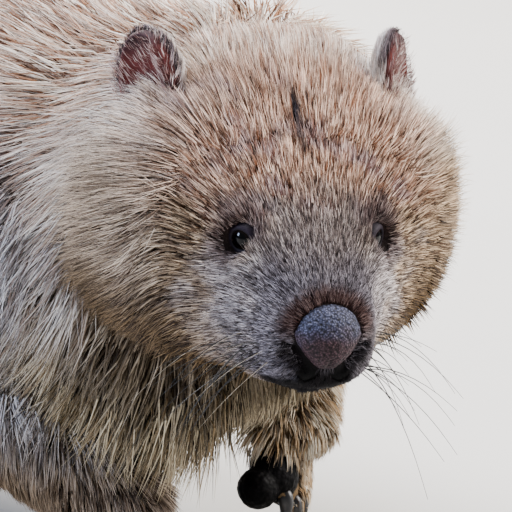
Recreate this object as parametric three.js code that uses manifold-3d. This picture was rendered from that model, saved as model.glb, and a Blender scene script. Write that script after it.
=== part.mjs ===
// A young bare-nosed wombat in mid-step, life size, as a still museum model.
// Lengths are in millimetres and angles in degrees. The animal faces -Y, its left side is +X,
// +Z is up, and the three planted soles stand on Z = 0. The left forefoot is lifted.

import * as THREE from "three";
import { mergeVertices } from "three/addons/utils/BufferGeometryUtils.js";
import Module from "manifold-3d";

const wasm = await Module();
wasm.setup();

const rad = THREE.MathUtils.degToRad;
const vec = (x, y, z) => new THREE.Vector3(x, y, z);
const SIDES = { left: 1, right: -1 };

// Clear space kept between pieces that touch
const GAP = 0.32;

// The head: where the midpoint between the eyes is, and how the head is turned
const EYE_MIDPOINT = vec(-44, -303, 190);
const HEAD_TURN = 26;
const HEAD_DIP = 14;
const HEAD_TILT = 3.5;

// Eyes, set on the face by the front of the eyeball
const EYE_RADIUS = 8.5;
const EYE_FRONT_SPACING = 68;
const EYE_OUTWARD = 50;
const LID_THICKNESS = 1.7;
const LID_OPENING = 5.4;
const SOCKET_RADIUS = 13;
const SOCKET_OUT = 17;

// Ears
const EAR_LENGTH = 33;
const EAR_HALF_WIDTH = 16;
const EAR_WALL = 2.2;
const EAR_BASE = { out: 59, back: 82, up: 40 };
const EAR_LEAN = { out: 0.3, back: 0.75 };
const EAR_OUTWARD = 50;

// Nose pad
const PAD_HALF_WIDTH = 16.5;
const PAD_HALF_HEIGHT = 16;
const PAD_HALF_DEPTH = 12;
const PAD_CENTRE = vec(0, -40, -28);
const PAD_LEAN = 25;
const MOUTH_GAP = 0.7;

// Joints of the legs, on the animal's left side where a side is meant
const SHOULDER = vec(78, -120, 168);
const ELBOW = vec(92, -92, 104);
const WRIST = { right: vec(-52, -176, 36), left: vec(53, -195, 62) };
const LIFTED_ELBOW = vec(90, -142, 97);
const HIP = vec(70, 228, 166);
const KNEE = vec(86, 184, 110);
const ANKLE = { right: vec(-88, 244, 40), left: vec(90, 206, 40) };

// How the feet point and how the lifted paw hangs
const FOREFOOT_TURN = { right: -8, left: 38 };
const LIFTED_DROOP = 66;
const LIFTED_DEPTH = 27;
const HINDFOOT_TURN = { right: -8, left: 8 };

// The coat: how far the core of each form lies under the tips of its locks, and the locks' sizes
const COAT = {
  head: { depth: 9, length: 62, width: 29, thick: 6, along: 36, across: 36, drape: 0.5 },
  neck: { depth: 11, length: 84, width: 46, thick: 8, along: 50, across: 56, drape: 0.35 },
  torso: { depth: 12, length: 124, width: 56, thick: 9, along: 84, across: 62, drape: 0.6 },
  leg: { depth: 7, length: 74, width: 42, thick: 6, along: 60, across: 52, drape: 0 },
};
const FACE_END = 8;
const RUFF_START = 48;
const CHEST_END = 2.8;
const ROOT_SUNK = 5;
const LOCK_STATIONS = [
  { along: 0, width: 0.7, thick: 0.9, under: 1 },
  { along: 0.38, width: 1, thick: 1, under: 0.55 },
  { along: 0.72, width: 0.78, thick: 0.6, under: 0.25 },
  { along: 1, width: 0, thick: 0, under: 0.02 },
];
const LOCK_GAP = 0.45;

// Evenly spread numbers from 0 to 1, the same ones on every run
function seeded(seed) {
  let state = seed;
  return () => {
    state = (state * 16807) % 2147483647;
    return state / 2147483647;
  };
}

// Catmull-Rom through rows of numbers at position u, where u = 0 is the first row
function through(rows, u) {
  const last = rows.length - 1;
  const i = Math.min(Math.max(Math.floor(u), 0), last - 1);
  const t = u - i;
  const row = (k) => rows[THREE.MathUtils.clamp(k, 0, last)];
  const [a, b, c, d] = [row(i - 1), row(i), row(i + 1), row(i + 2)];
  return b.map((_, k) => {
    const turn = 2 * a[k] - 5 * b[k] + 4 * c[k] - d[k];
    const bend = 3 * b[k] - a[k] - 3 * c[k] + d[k];
    return 0.5 * (2 * b[k] + (c[k] - a[k]) * t + turn * t * t + bend * t * t * t);
  });
}

// A rounded body swept through rings. Each row of rings holds the ring's centre x, y, z, its
// half-width, its rise and drop from the centre, and how square its upper and lower halves are.
class Form {
  constructor(rings, { axis = null, up = vec(0, 0, 1), count = 16, around = 24 } = {}) {
    Object.assign(this, { rings, axis, up, count, around });
    this.last = rings.length - 1;
  }

  // The directions of a ring at u: along the sweep, across it and up it
  frame(u) {
    const along = this.axis ? this.axis.clone() : this.tangent(u);
    const across = along.clone().cross(this.up).normalize();
    return { across, rise: across.clone().cross(along).normalize() };
  }

  tangent(u) {
    const step = 0.05;
    const [a, b] = [u - step, u + step].map((k) =>
      through(this.rings, THREE.MathUtils.clamp(k, 0, this.last)),
    );
    return vec(b[0] - a[0], b[1] - a[1], b[2] - a[2]).normalize();
  }

  // The point of the surface at u along the sweep and the given angle round it
  at(u, angle) {
    const [x, y, z, wide, rise, drop, squareAbove, squareBelow] = through(this.rings, u);
    const { across, rise: up } = this.frame(u);
    const [c, s] = [Math.cos(angle), Math.sin(angle)];
    const power = 2 / (s > 0 ? squareAbove : squareBelow);
    const side = wide * Math.sign(c) * Math.abs(c) ** power;
    const lift = (s > 0 ? rise : drop) * Math.sign(s) * Math.abs(s) ** power;
    return vec(x, y, z).addScaledVector(across, side).addScaledVector(up, lift);
  }

  // The steps of the surface along the sweep and round it, and its outward direction
  slopes(u, angle) {
    const e = 0.02;
    const along = this.at(u + e, angle).sub(this.at(u - e, angle)).divideScalar(2 * e);
    const round = this.at(u, angle + e).sub(this.at(u, angle - e)).divideScalar(2 * e);
    const out = round.clone().cross(along).normalize();
    if (out.dot(this.at(u, angle).sub(this.middle(u))) < 0) out.negate();
    return { along, round, out };
  }

  middle(u) {
    const [x, y, z] = through(this.rings, u);
    return vec(x, y, z);
  }

  // The same form with its surface moved in, by a depth for each ring
  inset(depthOf) {
    const facing = [1, 0.6, 0.2];
    const rings = this.rings.map(([x, y, z, wide, rise, drop, ...square], i) => {
      const by = depthOf(i);
      const shift = by * ((facing[i] ?? 0) - (facing[this.last - i] ?? 0));
      const less = (size) => Math.max(size - by, size * 0.3);
      return [x, y + shift, z, less(wide), less(rise), less(drop), ...square];
    });
    return new Form(rings, this);
  }

  // Angles round a ring, evenly spaced on its surface, one for each step of about this length
  spread(u, step, offset) {
    const parts = 48;
    const edge = Array.from({ length: parts + 1 }, (_, k) => this.at(u, (2 * Math.PI * k) / parts));
    const run = [0];
    for (let k = 1; k <= parts; k++) run.push(run[k - 1] + edge[k].distanceTo(edge[k - 1]));
    const count = Math.max(3, Math.round(run[parts] / step));
    return Array.from({ length: count }, (_, j) => {
      const goal = ((j + offset) / count) * run[parts];
      const k = run.findIndex((length) => length > goal) - 1;
      return (2 * Math.PI * (k + (goal - run[k]) / (run[k + 1] - run[k]))) / parts;
    });
  }

  solid() {
    const points = [this.at(0, 0)];
    for (let i = 1; i < this.count; i++)
      for (let j = 0; j < this.around; j++)
        points.push(this.at((this.last * i) / this.count, (2 * Math.PI * j) / this.around));
    points.push(this.at(this.last, 0));
    const n = this.around;
    const end = points.length - 1;
    const faces = [];
    for (let j = 0; j < n; j++) {
      const next = (j + 1) % n;
      faces.push(0, 1 + next, 1 + j);
      faces.push(end, end - n + j, end - n + next);
      for (let i = 0; i < this.count - 2; i++) {
        const [a, b] = [1 + i * n + j, 1 + i * n + next];
        faces.push(a, b, b + n, a, b + n, a + n);
      }
    }
    return solidOf(points, faces);
  }
}

// A solid from points and triangles, turned the right way out
function solidOf(points, faces) {
  const vertProperties = new Float32Array(points.flatMap((p) => [p.x, p.y, p.z]));
  const make = (list) =>
    new wasm.Manifold(
      new wasm.Mesh({ numProp: 3, vertProperties, triVerts: new Uint32Array(list) }),
    );
  const made = make(faces);
  if (made.volume() > 0) return made;
  const turned = [];
  for (let i = 0; i < faces.length; i += 3) turned.push(faces[i], faces[i + 2], faces[i + 1]);
  return make(turned);
}

// A solid from one of the library's closed geometries
function solidFrom(geometry) {
  const bare = geometry.clone();
  bare.deleteAttribute("normal");
  bare.deleteAttribute("uv");
  const merged = mergeVertices(bare, 1e-4);
  const place = merged.attributes.position;
  const points = Array.from({ length: place.count }, (_, i) =>
    vec(place.getX(i), place.getY(i), place.getZ(i)),
  );
  const list = Array.from(merged.index.array);
  const faces = [];
  for (let i = 0; i < list.length; i += 3) {
    const [a, b, c] = list.slice(i, i + 3);
    if (a !== b && b !== c && a !== c) faces.push(a, b, c);
  }
  return solidOf(points, faces);
}

function geometryOf(solid) {
  const { vertProperties, triVerts, numProp } = solid.getMesh();
  const places = new Float32Array((vertProperties.length / numProp) * 3);
  for (let i = 0; i < places.length / 3; i++)
    places.set(vertProperties.subarray(i * numProp, i * numProp + 3), i * 3);
  const geometry = new THREE.BufferGeometry();
  geometry.setAttribute("position", new THREE.BufferAttribute(places, 3));
  geometry.setIndex(new THREE.BufferAttribute(triVerts, 1));
  return geometry;
}

// The solid with its surface moved out by a distance, to cut a neighbour clear of it
function swollen(solid, by = GAP) {
  const geometry = geometryOf(solid);
  geometry.computeVertexNormals();
  const { position, normal } = geometry.attributes;
  const points = Array.from({ length: position.count }, (_, i) =>
    vec(position.getX(i), position.getY(i), position.getZ(i)).addScaledVector(
      vec(normal.getX(i), normal.getY(i), normal.getZ(i)),
      by,
    ),
  );
  return solidOf(points, Array.from(geometry.index.array));
}

const joined = (...solids) => wasm.Manifold.union(solids);
const placed = (solid, matrix) => solid.transform(matrix.elements);

// A solid cut clear of its neighbours. The second cut takes what folds in the first one leave.
const clearOf = (solid, ...others) =>
  others.reduce((left, other) => left.subtract(swollen(other)).subtract(other), solid);

// The same for the locks of its neighbours
const clearOfLocks = (solid, hair) =>
  wasm.Manifold.difference([solid, ...hair.flatMap((one) => [one.room, one.solid])]);

// Whether a point lies inside any of some solids
const speck = solidFrom(new THREE.BoxGeometry(0.2, 0.2, 0.2));
const within = (point, solids) =>
  solids.some((solid) => !solid.intersect(speck.translate(point.toArray())).isEmpty());

// The locks of some hair that stay out of some solids
const outside = (hair, solids) => hair.filter(({ reach }) => !reach.some((p) => within(p, solids)));

// The largest closed body of a solid, which drops any scrap that a cut leaves
function largest(solid) {
  return solid.decompose().reduce((a, b) => (a.volume() > b.volume() ? a : b));
}

// A round limb through points, each [point, radius], with rounded ends
const limb = (stops, options) => limbForm(stops, options).solid();

function limbForm(stops, { up = vec(0, -1, 0), flat = 1, count = 12, around = 16 } = {}) {
  const row = (p, r) => [p.x, p.y, p.z, r * flat, r, r, 2, 2];
  const [first, second] = [stops[0], stops[1]];
  const [before, final] = [stops.at(-2), stops.at(-1)];
  const past = (from, to, r, share) =>
    to.clone().addScaledVector(to.clone().sub(from).normalize(), r * share);
  const start = (share) => past(second[0], first[0], first[1], share);
  const finish = (share) => past(before[0], final[0], final[1], share);
  const rings = [
    row(start(0.95), 0),
    row(start(0.7), first[1] * 0.72),
    ...stops.map(([p, r]) => row(p, r)),
    row(finish(0.7), final[1] * 0.72),
    row(finish(0.95), 0),
  ];
  return new Form(rings, { up, count, around });
}

// One flat, tapered lock that follows a form from its root, sunk under the core, to its tip on
// the outline. Heading is its angle from the form's sweep, as a function of the place round it.
// Room is the space that the lock and a gap round it take, and reach is where its ridge runs.
function lock(form, { u, angle, length, width, thick, depth, heading, curl }) {
  const stations = [];
  let [at, round, gone] = [u, angle, 0];
  for (const station of LOCK_STATIONS) {
    const step = (station.along - gone) * length;
    const way = heading(round) + curl * station.along;
    const before = form.slopes(at, round);
    at += (step * Math.cos(way)) / before.along.length();
    at = THREE.MathUtils.clamp(at, 0.05, form.last - 0.05);
    round += (step * Math.sin(way)) / before.round.length();
    gone = station.along;
    const { along, round: aside, out } = form.slopes(at, round);
    const forward = along.normalize().multiplyScalar(Math.cos(way));
    forward.addScaledVector(aside.normalize(), Math.sin(way));
    const sunk = station.along === 0 ? depth + ROOT_SUNK : depth * station.under;
    stations.push({
      centre: form.at(at, round).addScaledVector(out, -sunk),
      forward,
      side: forward.clone().cross(out).normalize(),
      out,
      half: 0.5 * width * station.width,
      thick: thick * station.thick,
    });
  }
  const { solid, ridge } = lockSolid(stations, 0);
  return { solid, room: lockSolid(stations, LOCK_GAP).solid, reach: ridge };
}

// A lock's solid, with a three-sided section at each station and a point at the last, grown by
// a gap that is wider at its sharp edges
function lockSolid(stations, gap) {
  const points = [];
  const ridge = [];
  stations.forEach(({ centre, forward, side, out, half, thick }, i) => {
    const last = i === stations.length - 1;
    const ahead = last ? 6 * gap : i === 0 ? -gap : 0;
    const middle = centre.clone().addScaledVector(forward, ahead);
    const top = middle.clone().addScaledVector(out, last ? 0 : 0.6 * thick + 1.2 * gap);
    if (!last)
      for (const across of [-1, 1]) {
        const edge = middle.clone().addScaledVector(side, across * (half + 4 * gap));
        points.push(edge.addScaledVector(out, -0.4 * thick - gap));
      }
    points.push(top);
    ridge.push(top);
  });
  const faces = [0, 1, 2];
  const tip = points.length - 1;
  for (let base = 0; base < tip; base += 3)
    for (const [a, b] of [[0, 2], [2, 1], [1, 0]]) {
      if (base + 3 === tip) faces.push(base + a, base + b, tip);
      else faces.push(base + a, base + b, base + b + 3, base + a, base + b + 3, base + a + 3);
    }
  return { solid: solidOf(points, faces), ridge };
}

// The locks of a form in staggered rows from one place along its sweep to another
function locks(form, size, { from, to, heading, keep = () => true, seed }) {
  const random = seeded(seed);
  const about = (value, share) => value * (1 + share * (2 * random() - 1));
  const made = [];
  let row = 0;
  for (let u = from; u < to; row++) {
    const pace = size.along / form.slopes(u, Math.PI / 2).along.length();
    for (const angle of form.spread(u, size.across, (row % 2) * 0.5 + 0.25 * random())) {
      const place = {
        u: u + 0.3 * pace * (random() - 0.5),
        angle: angle + 0.1 * (random() - 0.5),
        length: about(size.length, 0.14),
        width: about(size.width, 0.14),
        thick: about(size.thick, 0.12),
        curl: 0.5 * (random() - 0.5),
      };
      if (!keep(form.slopes(place.u, place.angle).out, place)) continue;
      made.push(lock(form, { ...place, depth: size.depth, heading }));
    }
    u += pace;
  }
  return made;
}

// Torso, front to back: place along Y, half-width, top, widest level and bottom
const TORSO_RINGS = [
  [-236, 0, 160, 160, 160],
  [-224, 60, 222, 158, 92],
  [-190, 94, 255, 156, 62],
  [-135, 112, 273, 152, 56],
  [-50, 119, 281, 148, 62],
  [50, 122, 285, 148, 63],
  [150, 123, 287, 150, 66],
  [235, 116, 280, 154, 74],
  [300, 98, 256, 158, 90],
  [345, 72, 224, 160, 112],
  [370, 40, 193, 160, 134],
  [377, 0, 160, 160, 160],
];

// Head, nose to nape, in the head's own frame: as the torso's rows
const HEAD_RINGS = [
  [-46, 0, -34, -34, -34],
  [-44, 15, -18, -34, -50],
  [-37, 25, -8, -38, -58],
  [-20, 31, 5, -40, -63],
  [0, 45, 19, -32, -70],
  [22, 68, 36, -28, -80],
  [44, 87, 50, -26, -88],
  [66, 95, 61, -24, -90],
  [88, 91, 67, -20, -83],
  [106, 76, 65, -14, -66],
  [118, 46, 45, -8, -40],
  [124, 0, 0, 0, 0],
];

// Rings with upright planes, from rows of place, half-width, top, widest level and bottom
const upright = (rows, squareAbove, squareBelow) =>
  rows.map(([y, wide, top, level, bottom]) => [
    0, y, level, wide, top - level, level - bottom, squareAbove, squareBelow,
  ]);

const TORSO = new Form(upright(TORSO_RINGS, 2.2, 2.1), {
  axis: vec(0, 1, 0), count: 13, around: 18,
});
const HEAD = new Form(upright(HEAD_RINGS, 2.4, 2.4), {
  axis: vec(0, 1, 0), count: 15, around: 20,
});

// How deep the coat is at each ring of the head: none on the face, all of it at the ruff
const headCoat = (i) =>
  COAT.head.depth * THREE.MathUtils.smoothstep(HEAD_RINGS[i][0], FACE_END, RUFF_START);

// The head's frame in the animal's
const headFrame = new THREE.Group();
headFrame.position.copy(EYE_MIDPOINT);
headFrame.rotation.set(rad(HEAD_DIP), rad(HEAD_TILT), -rad(HEAD_TURN), "ZXY");
headFrame.updateMatrix();
const inHead = (x, y, z) => vec(x, y, z).applyMatrix4(headFrame.matrix);

// Where an eyeball's centre lies and which way it looks, in the head's frame
function eyeOf(side) {
  const gaze = vec(SIDES[side] * Math.sin(rad(EYE_OUTWARD)), -Math.cos(rad(EYE_OUTWARD)), 0.06);
  gaze.normalize();
  const front = vec((SIDES[side] * EYE_FRONT_SPACING) / 2, 0, 0);
  return { gaze, centre: front.addScaledVector(gaze, -EYE_RADIUS) };
}

function ball(centre, radius, [around, rings] = [12, 9]) {
  return solidFrom(new THREE.SphereGeometry(radius, around, rings)).translate(centre.toArray());
}

// The cone that opens the lids in front of the eyeball
function lidOpening(side) {
  const { centre, gaze } = eyeOf(side);
  const reach = 2.2 * EYE_RADIUS;
  const cone = new THREE.CylinderGeometry(LID_OPENING * 2.2, 0.6, reach, 10);
  cone.scale(1.08, 1, 0.94);
  cone.translate(0, reach / 2, 0);
  cone.applyQuaternion(new THREE.Quaternion().setFromUnitVectors(vec(0, 1, 0), gaze));
  return solidFrom(cone).translate(centre.toArray());
}

// The nose pad, an egg with its narrow end down
function nosePad() {
  const egg = new THREE.SphereGeometry(1, 14, 9);
  const place = egg.attributes.position;
  for (let i = 0; i < place.count; i++) {
    const z = place.getZ(i);
    const taper = z < 0 ? 1 - 0.38 * z * z : 1 - 0.12 * z * z;
    place.setXYZ(
      i,
      place.getX(i) * PAD_HALF_WIDTH * taper,
      place.getY(i) * PAD_HALF_DEPTH,
      z * PAD_HALF_HEIGHT,
    );
  }
  egg.rotateX(-rad(PAD_LEAN));
  return solidFrom(egg).translate(PAD_CENTRE.toArray());
}

// The slit of a nostril, from the pad's corner down to the cleft
function nostril(side) {
  const s = SIDES[side];
  return limb(
    [
      [vec(s * 17, -41, -32), 1.5],
      [vec(s * 13.5, -47, -38), 2.4],
      [vec(s * 8, -50, -45), 1.8],
    ],
    { up: vec(0, 0, 1), count: 6, around: 6 },
  );
}

// The upper lips, two rounded pads under the nose with the cleft between them
function upperLips() {
  return Object.values(SIDES).map((s) =>
    limb(
      [
        [vec(s * 8.5, -38, -45), 9],
        [vec(s * 17, -20, -48), 12],
        [vec(s * 25, 2, -50), 12],
      ],
      { up: vec(0, 0, 1), count: 7, around: 8 },
    ),
  );
}

function lowerJaw() {
  return limb(
    [
      [vec(0, -25, -57), 7],
      [vec(0, -8, -59), 12],
      [vec(0, 16, -62), 18],
    ],
    { up: vec(0, 0, 1), flat: 1.45, count: 8, around: 14 },
  );
}

function buildHead() {
  const sides = Object.keys(SIDES);
  let skull = joined(HEAD.inset(headCoat).solid(), ...upperLips());
  const eyes = sides.map((s) => ({ side: s, ...eyeOf(s) }));
  for (const { centre, gaze } of eyes)
    skull = skull.subtract(ball(centre.clone().addScaledVector(gaze, SOCKET_OUT), SOCKET_RADIUS));
  skull = joined(skull, ...eyes.map(({ centre }) => ball(centre, EYE_RADIUS + LID_THICKNESS)));
  for (const { side, centre } of eyes) {
    skull = skull.subtract(lidOpening(side)).subtract(ball(centre, EYE_RADIUS + GAP));
    skull = skull.subtract(nostril(side));
  }
  return largest(skull.subtract(swollen(nosePad())).subtract(swollen(lowerJaw(), MOUTH_GAP)));
}

// An ear standing on its own origin, with its cup open towards -Y
function earCup() {
  const row = (z, wide, thick, y = 0) => [0, y, z, wide, thick, thick, 2, 2];
  const [h, w] = [EAR_LENGTH, EAR_HALF_WIDTH];
  const shape = (wall, forward) => [
    row(-12 + wall, 0, 0, forward),
    row(-10 + wall, w * 0.8 - wall, 9 - wall, forward),
    row(0, w * 0.96 - wall, 9 - wall, forward),
    row(h * 0.35, w - wall, 8 - wall, forward + 1),
    row(h * 0.68, w * 0.8 - wall, 6 - wall / 2, forward + 2),
    row(h * 0.93 - wall, w * 0.42 - wall / 2, 4 - wall / 2, forward + 3),
    row(h - wall, 0, 0, forward + 3),
  ];
  const options = { axis: vec(0, 0, 1), up: vec(0, 1, 0), count: 9, around: 14 };
  const outer = new Form(shape(0, 0), options).solid();
  const hollow = new Form(shape(EAR_WALL, -5.5), options).solid();
  return outer.subtract(hollow);
}

// Where an ear is rooted on the head and how it leans
function earMatrix(side) {
  const s = SIDES[side];
  const rise = vec(s * EAR_LEAN.out, EAR_LEAN.back, 1).normalize();
  const facing = vec(s * Math.sin(rad(EAR_OUTWARD)), -Math.cos(rad(EAR_OUTWARD)), 0);
  const back = facing.addScaledVector(rise, -facing.dot(rise)).normalize().negate();
  const matrix = new THREE.Matrix4().makeBasis(back.clone().cross(rise), back, rise);
  return matrix.setPosition(s * EAR_BASE.out, EAR_BASE.back, EAR_BASE.up);
}

// A claw on its own origin: it leaves along -Y and curves down
function claw(length, radius) {
  const stops = [0, 0.5, 1].map((t) => {
    const bend = rad(40) * t;
    const place = vec(0, -length * t * Math.cos(bend * 0.5), -length * t * Math.sin(bend) * 0.8);
    return [place, radius * (1 - 0.8 * t ** 1.5)];
  });
  return limb(stops, { up: vec(0, 0, 1), flat: 0.75, count: 6, around: 6 });
}

// A foot on its own origin at the joint above it, with its toes towards -Y and its sole down.
// Returns the foot and its claws as solids in that frame.
function buildFoot({ length, half, drop, toes, clawLength, clawRadius, flatSole }) {
  const heel = length * 0.3;
  const ballOfFoot = -length * 0.38;
  const body = new Form(
    [
      [0, heel + 8, -drop * 0.6, 0, 0, 0, 2, 2],
      [0, heel, -drop * 0.6, half * 0.62, drop * 0.52, drop * 0.44, 2.2, 2.6],
      [0, heel * 0.2, -drop * 0.5, half * 0.82, drop * 0.62, drop * 0.54, 2.2, 2.6],
      [0, ballOfFoot * 0.6, -drop * 0.58, half * 0.98, drop * 0.42, drop * 0.46, 2.2, 2.6],
      [0, ballOfFoot, -drop * 0.66, half, drop * 0.3, drop * 0.38, 2.2, 2.6],
      [0, ballOfFoot - 9, -drop * 0.72, 0, 0, 0, 2, 2],
    ],
    { axis: vec(0, -1, 0), count: 6, around: 10 },
  ).solid();
  const toeParts = [];
  const claws = [];
  for (const { across, reach, spread } of toes) {
    const root = vec(across * half, ballOfFoot + 8, -drop * 0.7);
    const way = vec(Math.sin(rad(spread)), -Math.cos(rad(spread)), 0);
    const tip = root.clone().addScaledVector(way, reach);
    tip.z = -drop * 0.74;
    const stops = [[root, half * 0.3], [tip, half * 0.26]];
    toeParts.push(limb(stops, { up: vec(0, 0, 1), count: 4, around: 6 }));
    const frame = new THREE.Object3D();
    frame.position.copy(tip).addScaledVector(way, half * 0.1);
    frame.position.z += half * 0.06;
    frame.rotation.z = rad(spread);
    frame.updateMatrix();
    claws.push(placed(claw(clawLength, clawRadius), frame.matrix));
  }
  const pad = solidFrom(new THREE.SphereGeometry(1, 8, 5).scale(half * 0.62, half * 0.56, drop * 0.3));
  let foot = joined(body, pad.translate([0, ballOfFoot * 0.55, -drop * 0.84]), ...toeParts);
  if (flatSole) {
    const slab = solidFrom(new THREE.BoxGeometry(400, 400, 100));
    foot = foot.subtract(slab.translate([0, 0, -drop - 50]));
  }
  return { foot: largest(clearOf(foot, ...claws)), claws };
}

const FORE_TOES = [-1, -0.5, 0, 0.5, 1].map((k) => ({
  across: k * 0.78, reach: 17 - 8 * k * k, spread: k * 16,
}));
const HIND_TOES = [-0.9, -0.3, 0.3, 0.9].map((k) => ({
  across: k * 0.8, reach: 16 - 5 * k * k, spread: k * 12,
}));
const FOOT_KINDS = {
  fore: { length: 58, half: 26, toes: FORE_TOES, clawLength: 15, clawRadius: 4.2 },
  hind: { length: 86, half: 25, toes: HIND_TOES, clawLength: 14, clawRadius: 3.8 },
};

const mirrored = (point, side) => vec(SIDES[side] * point.x, point.y, point.z);

const LEG_SHAPE = { count: 6, around: 10 };

// The two lengths of a leg, each as stops of a place and a radius, and how flat they are
function foreleg(side) {
  const lifted = side === "left";
  const elbow = mirrored(lifted ? LIFTED_ELBOW : ELBOW, side);
  const shoulder = mirrored(SHOULDER, side);
  const slim = lifted ? 0.86 : 1;
  const middle = elbow.clone().lerp(WRIST[side], 0.5);
  return [
    { stops: [[shoulder, 58], [shoulder.clone().lerp(elbow, 0.6), 50], [elbow, 42 * slim]], flat: 0.8 },
    { stops: [[elbow, 40 * slim], [middle, 33 * slim], [WRIST[side], 24 * slim]], flat: 0.95 },
  ];
}

function hindleg(side) {
  const hip = mirrored(HIP, side);
  const knee = mirrored(KNEE, side);
  knee.y += (ANKLE[side].y - ANKLE.right.y) * 0.5;
  const middle = knee.clone().lerp(ANKLE[side], 0.5);
  return [
    { stops: [[hip, 80], [hip.clone().lerp(knee, 0.6), 66], [knee, 50]], flat: 0.8 },
    { stops: [[knee, 46], [middle, 38], [ANKLE[side], 28]], flat: 0.9 },
  ];
}

// A leg's core and the locks on its outer side. The coat thins out down to the wrist or ankle.
function dressLeg(lengths, side, seed) {
  const core = lengths.map(({ stops, flat }, part) => {
    const thin = (i) => (part === 1 ? i / (stops.length - 1) : 0);
    const shrunk = stops.map(([point, radius], i) => [point, radius - COAT.leg.depth * (1 - thin(i))]);
    return limb(shrunk, { ...LEG_SHAPE, flat });
  });
  const hair = lengths.flatMap(({ stops, flat }, part) => {
    const form = limbForm(stops, { ...LEG_SHAPE, flat });
    return locks(form, COAT.leg, {
      from: part === 0 ? 1.4 : 2,
      to: part === 0 ? form.last - 1.4 : form.last - 2,
      heading: () => 0,
      keep: (out) => out.x * SIDES[side] > -0.2,
      seed: seed + part,
    });
  });
  return { core: joined(...core), hair };
}

const legOutline = (lengths) =>
  joined(...lengths.map(({ stops, flat }) => limb(stops, { ...LEG_SHAPE, flat })));

// The neck, from inside the head to inside the torso
function neckForm() {
  const rings = [
    [inHead(0, 34, -20), 0, 0, 0],
    [inHead(0, 50, -18), 62, 50, 46],
    [inHead(0, 82, -18), 82, 60, 64],
    [inHead(0, 114, -16), 92, 80, 78],
    [vec(0, -172, 162), 102, 108, 96],
    [vec(0, -130, 162), 84, 102, 60],
    [vec(0, -112, 162), 0, 0, 0],
  ];
  const rows = rings.map(([p, wide, rise, drop]) => [p.x, p.y, p.z, wide, rise, drop, 2.1, 2]);
  return new Form(rows, { axis: vec(0, 1, 0), count: 9, around: 16 });
}

function tail() {
  return limb([[vec(0, 360, 150), 11], [vec(0, 382, 132), 8]], {
    up: vec(0, 0, 1), count: 6, around: 10,
  });
}

const finish = (colour, roughness) =>
  new THREE.MeshStandardMaterial({ color: colour, roughness, metalness: 0 });
const FINISHES = {
  coat: finish(0x9a7f63, 0.95),
  face: finish(0x8f7d6c, 0.9),
  pad: finish(0x45434a, 0.7),
  ear: finish(0x8d6d66, 0.85),
  eye: finish(0x0c0a0c, 0.08),
  paw: finish(0x3f312b, 0.85),
  claw: finish(0x35302e, 0.45),
};

const wombat = new THREE.Group();
const headGroup = new THREE.Group();
headGroup.position.copy(headFrame.position);
headGroup.rotation.copy(headFrame.rotation);
wombat.add(headGroup);

function add(name, solid, material, parent = wombat) {
  const mesh = new THREE.Mesh(geometryOf(largest(solid)), material);
  mesh.name = name;
  parent.add(mesh);
}

// Locks drape down both sides and lie along the sweep on the back and the belly
const draped = (drape) => (angle) => -drape * Math.cos(angle);

// Each form with its coat: the core, the locks and the outline out to their tips
const solids = (hair) => hair.map(({ solid }) => solid);
const moved = (hair, matrix) =>
  hair.map((one) => ({ solid: placed(one.solid, matrix), room: placed(one.room, matrix) }));

const ears = {};
for (const side of Object.keys(SIDES)) ears[side] = placed(earCup(), earMatrix(side));
const earRoom = Object.values(ears).map((ear) => swollen(ear, 3));
const skull = buildHead();
const jaw = lowerJaw();
const ruff = outside(
  locks(HEAD, COAT.head, {
    from: 4.3, to: 7.3, heading: draped(COAT.head.drape), keep: (out) => out.y > -0.75, seed: 11,
  }),
  [...earRoom, jaw],
);
const nostrils = Object.keys(SIDES).map(nostril);
add("head", joined(skull, ...solids(ruff)), FINISHES.face, headGroup);
add("nose", nostrils.reduce((left, slit) => left.subtract(slit), nosePad()), FINISHES.pad, headGroup);
add("lower_jaw", clearOfLocks(jaw, ruff), FINISHES.face, headGroup);
for (const side of Object.keys(SIDES)) {
  add("eye_" + side, ball(eyeOf(side).centre, EYE_RADIUS), FINISHES.eye, headGroup);
  add("ear_" + side, clearOfLocks(clearOf(ears[side], skull), ruff), FINISHES.ear, headGroup);
}
const ruffThere = moved(ruff, headFrame.matrix);
const skullThere = placed(skull, headFrame.matrix);
const jawThere = placed(jaw, headFrame.matrix);
const headOutline = placed(HEAD.solid(), headFrame.matrix);

const feet = {};
for (const [kind, joints] of Object.entries({ fore: WRIST, hind: ANKLE })) {
  for (const side of Object.keys(SIDES)) {
    const lifted = kind === "fore" && side === "left";
    const turn = kind === "fore" ? FOREFOOT_TURN[side] : HINDFOOT_TURN[side];
    const drop = lifted ? LIFTED_DEPTH : joints[side].z;
    const { foot, claws } = buildFoot({ ...FOOT_KINDS[kind], drop, flatSole: !lifted });
    const group = new THREE.Group();
    group.position.copy(joints[side]);
    group.rotation.set(lifted ? rad(LIFTED_DROOP) : 0, 0, rad(turn), "ZXY");
    group.updateMatrix();
    wombat.add(group);
    add(`${kind}foot_${side}`, foot, FINISHES.paw, group);
    claws.forEach((c, i) => add(`${kind}_claw_${side}_${i + 1}`, c, FINISHES.claw, group));
    feet[kind + side] = placed(foot, group.matrix);
  }
}

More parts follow.
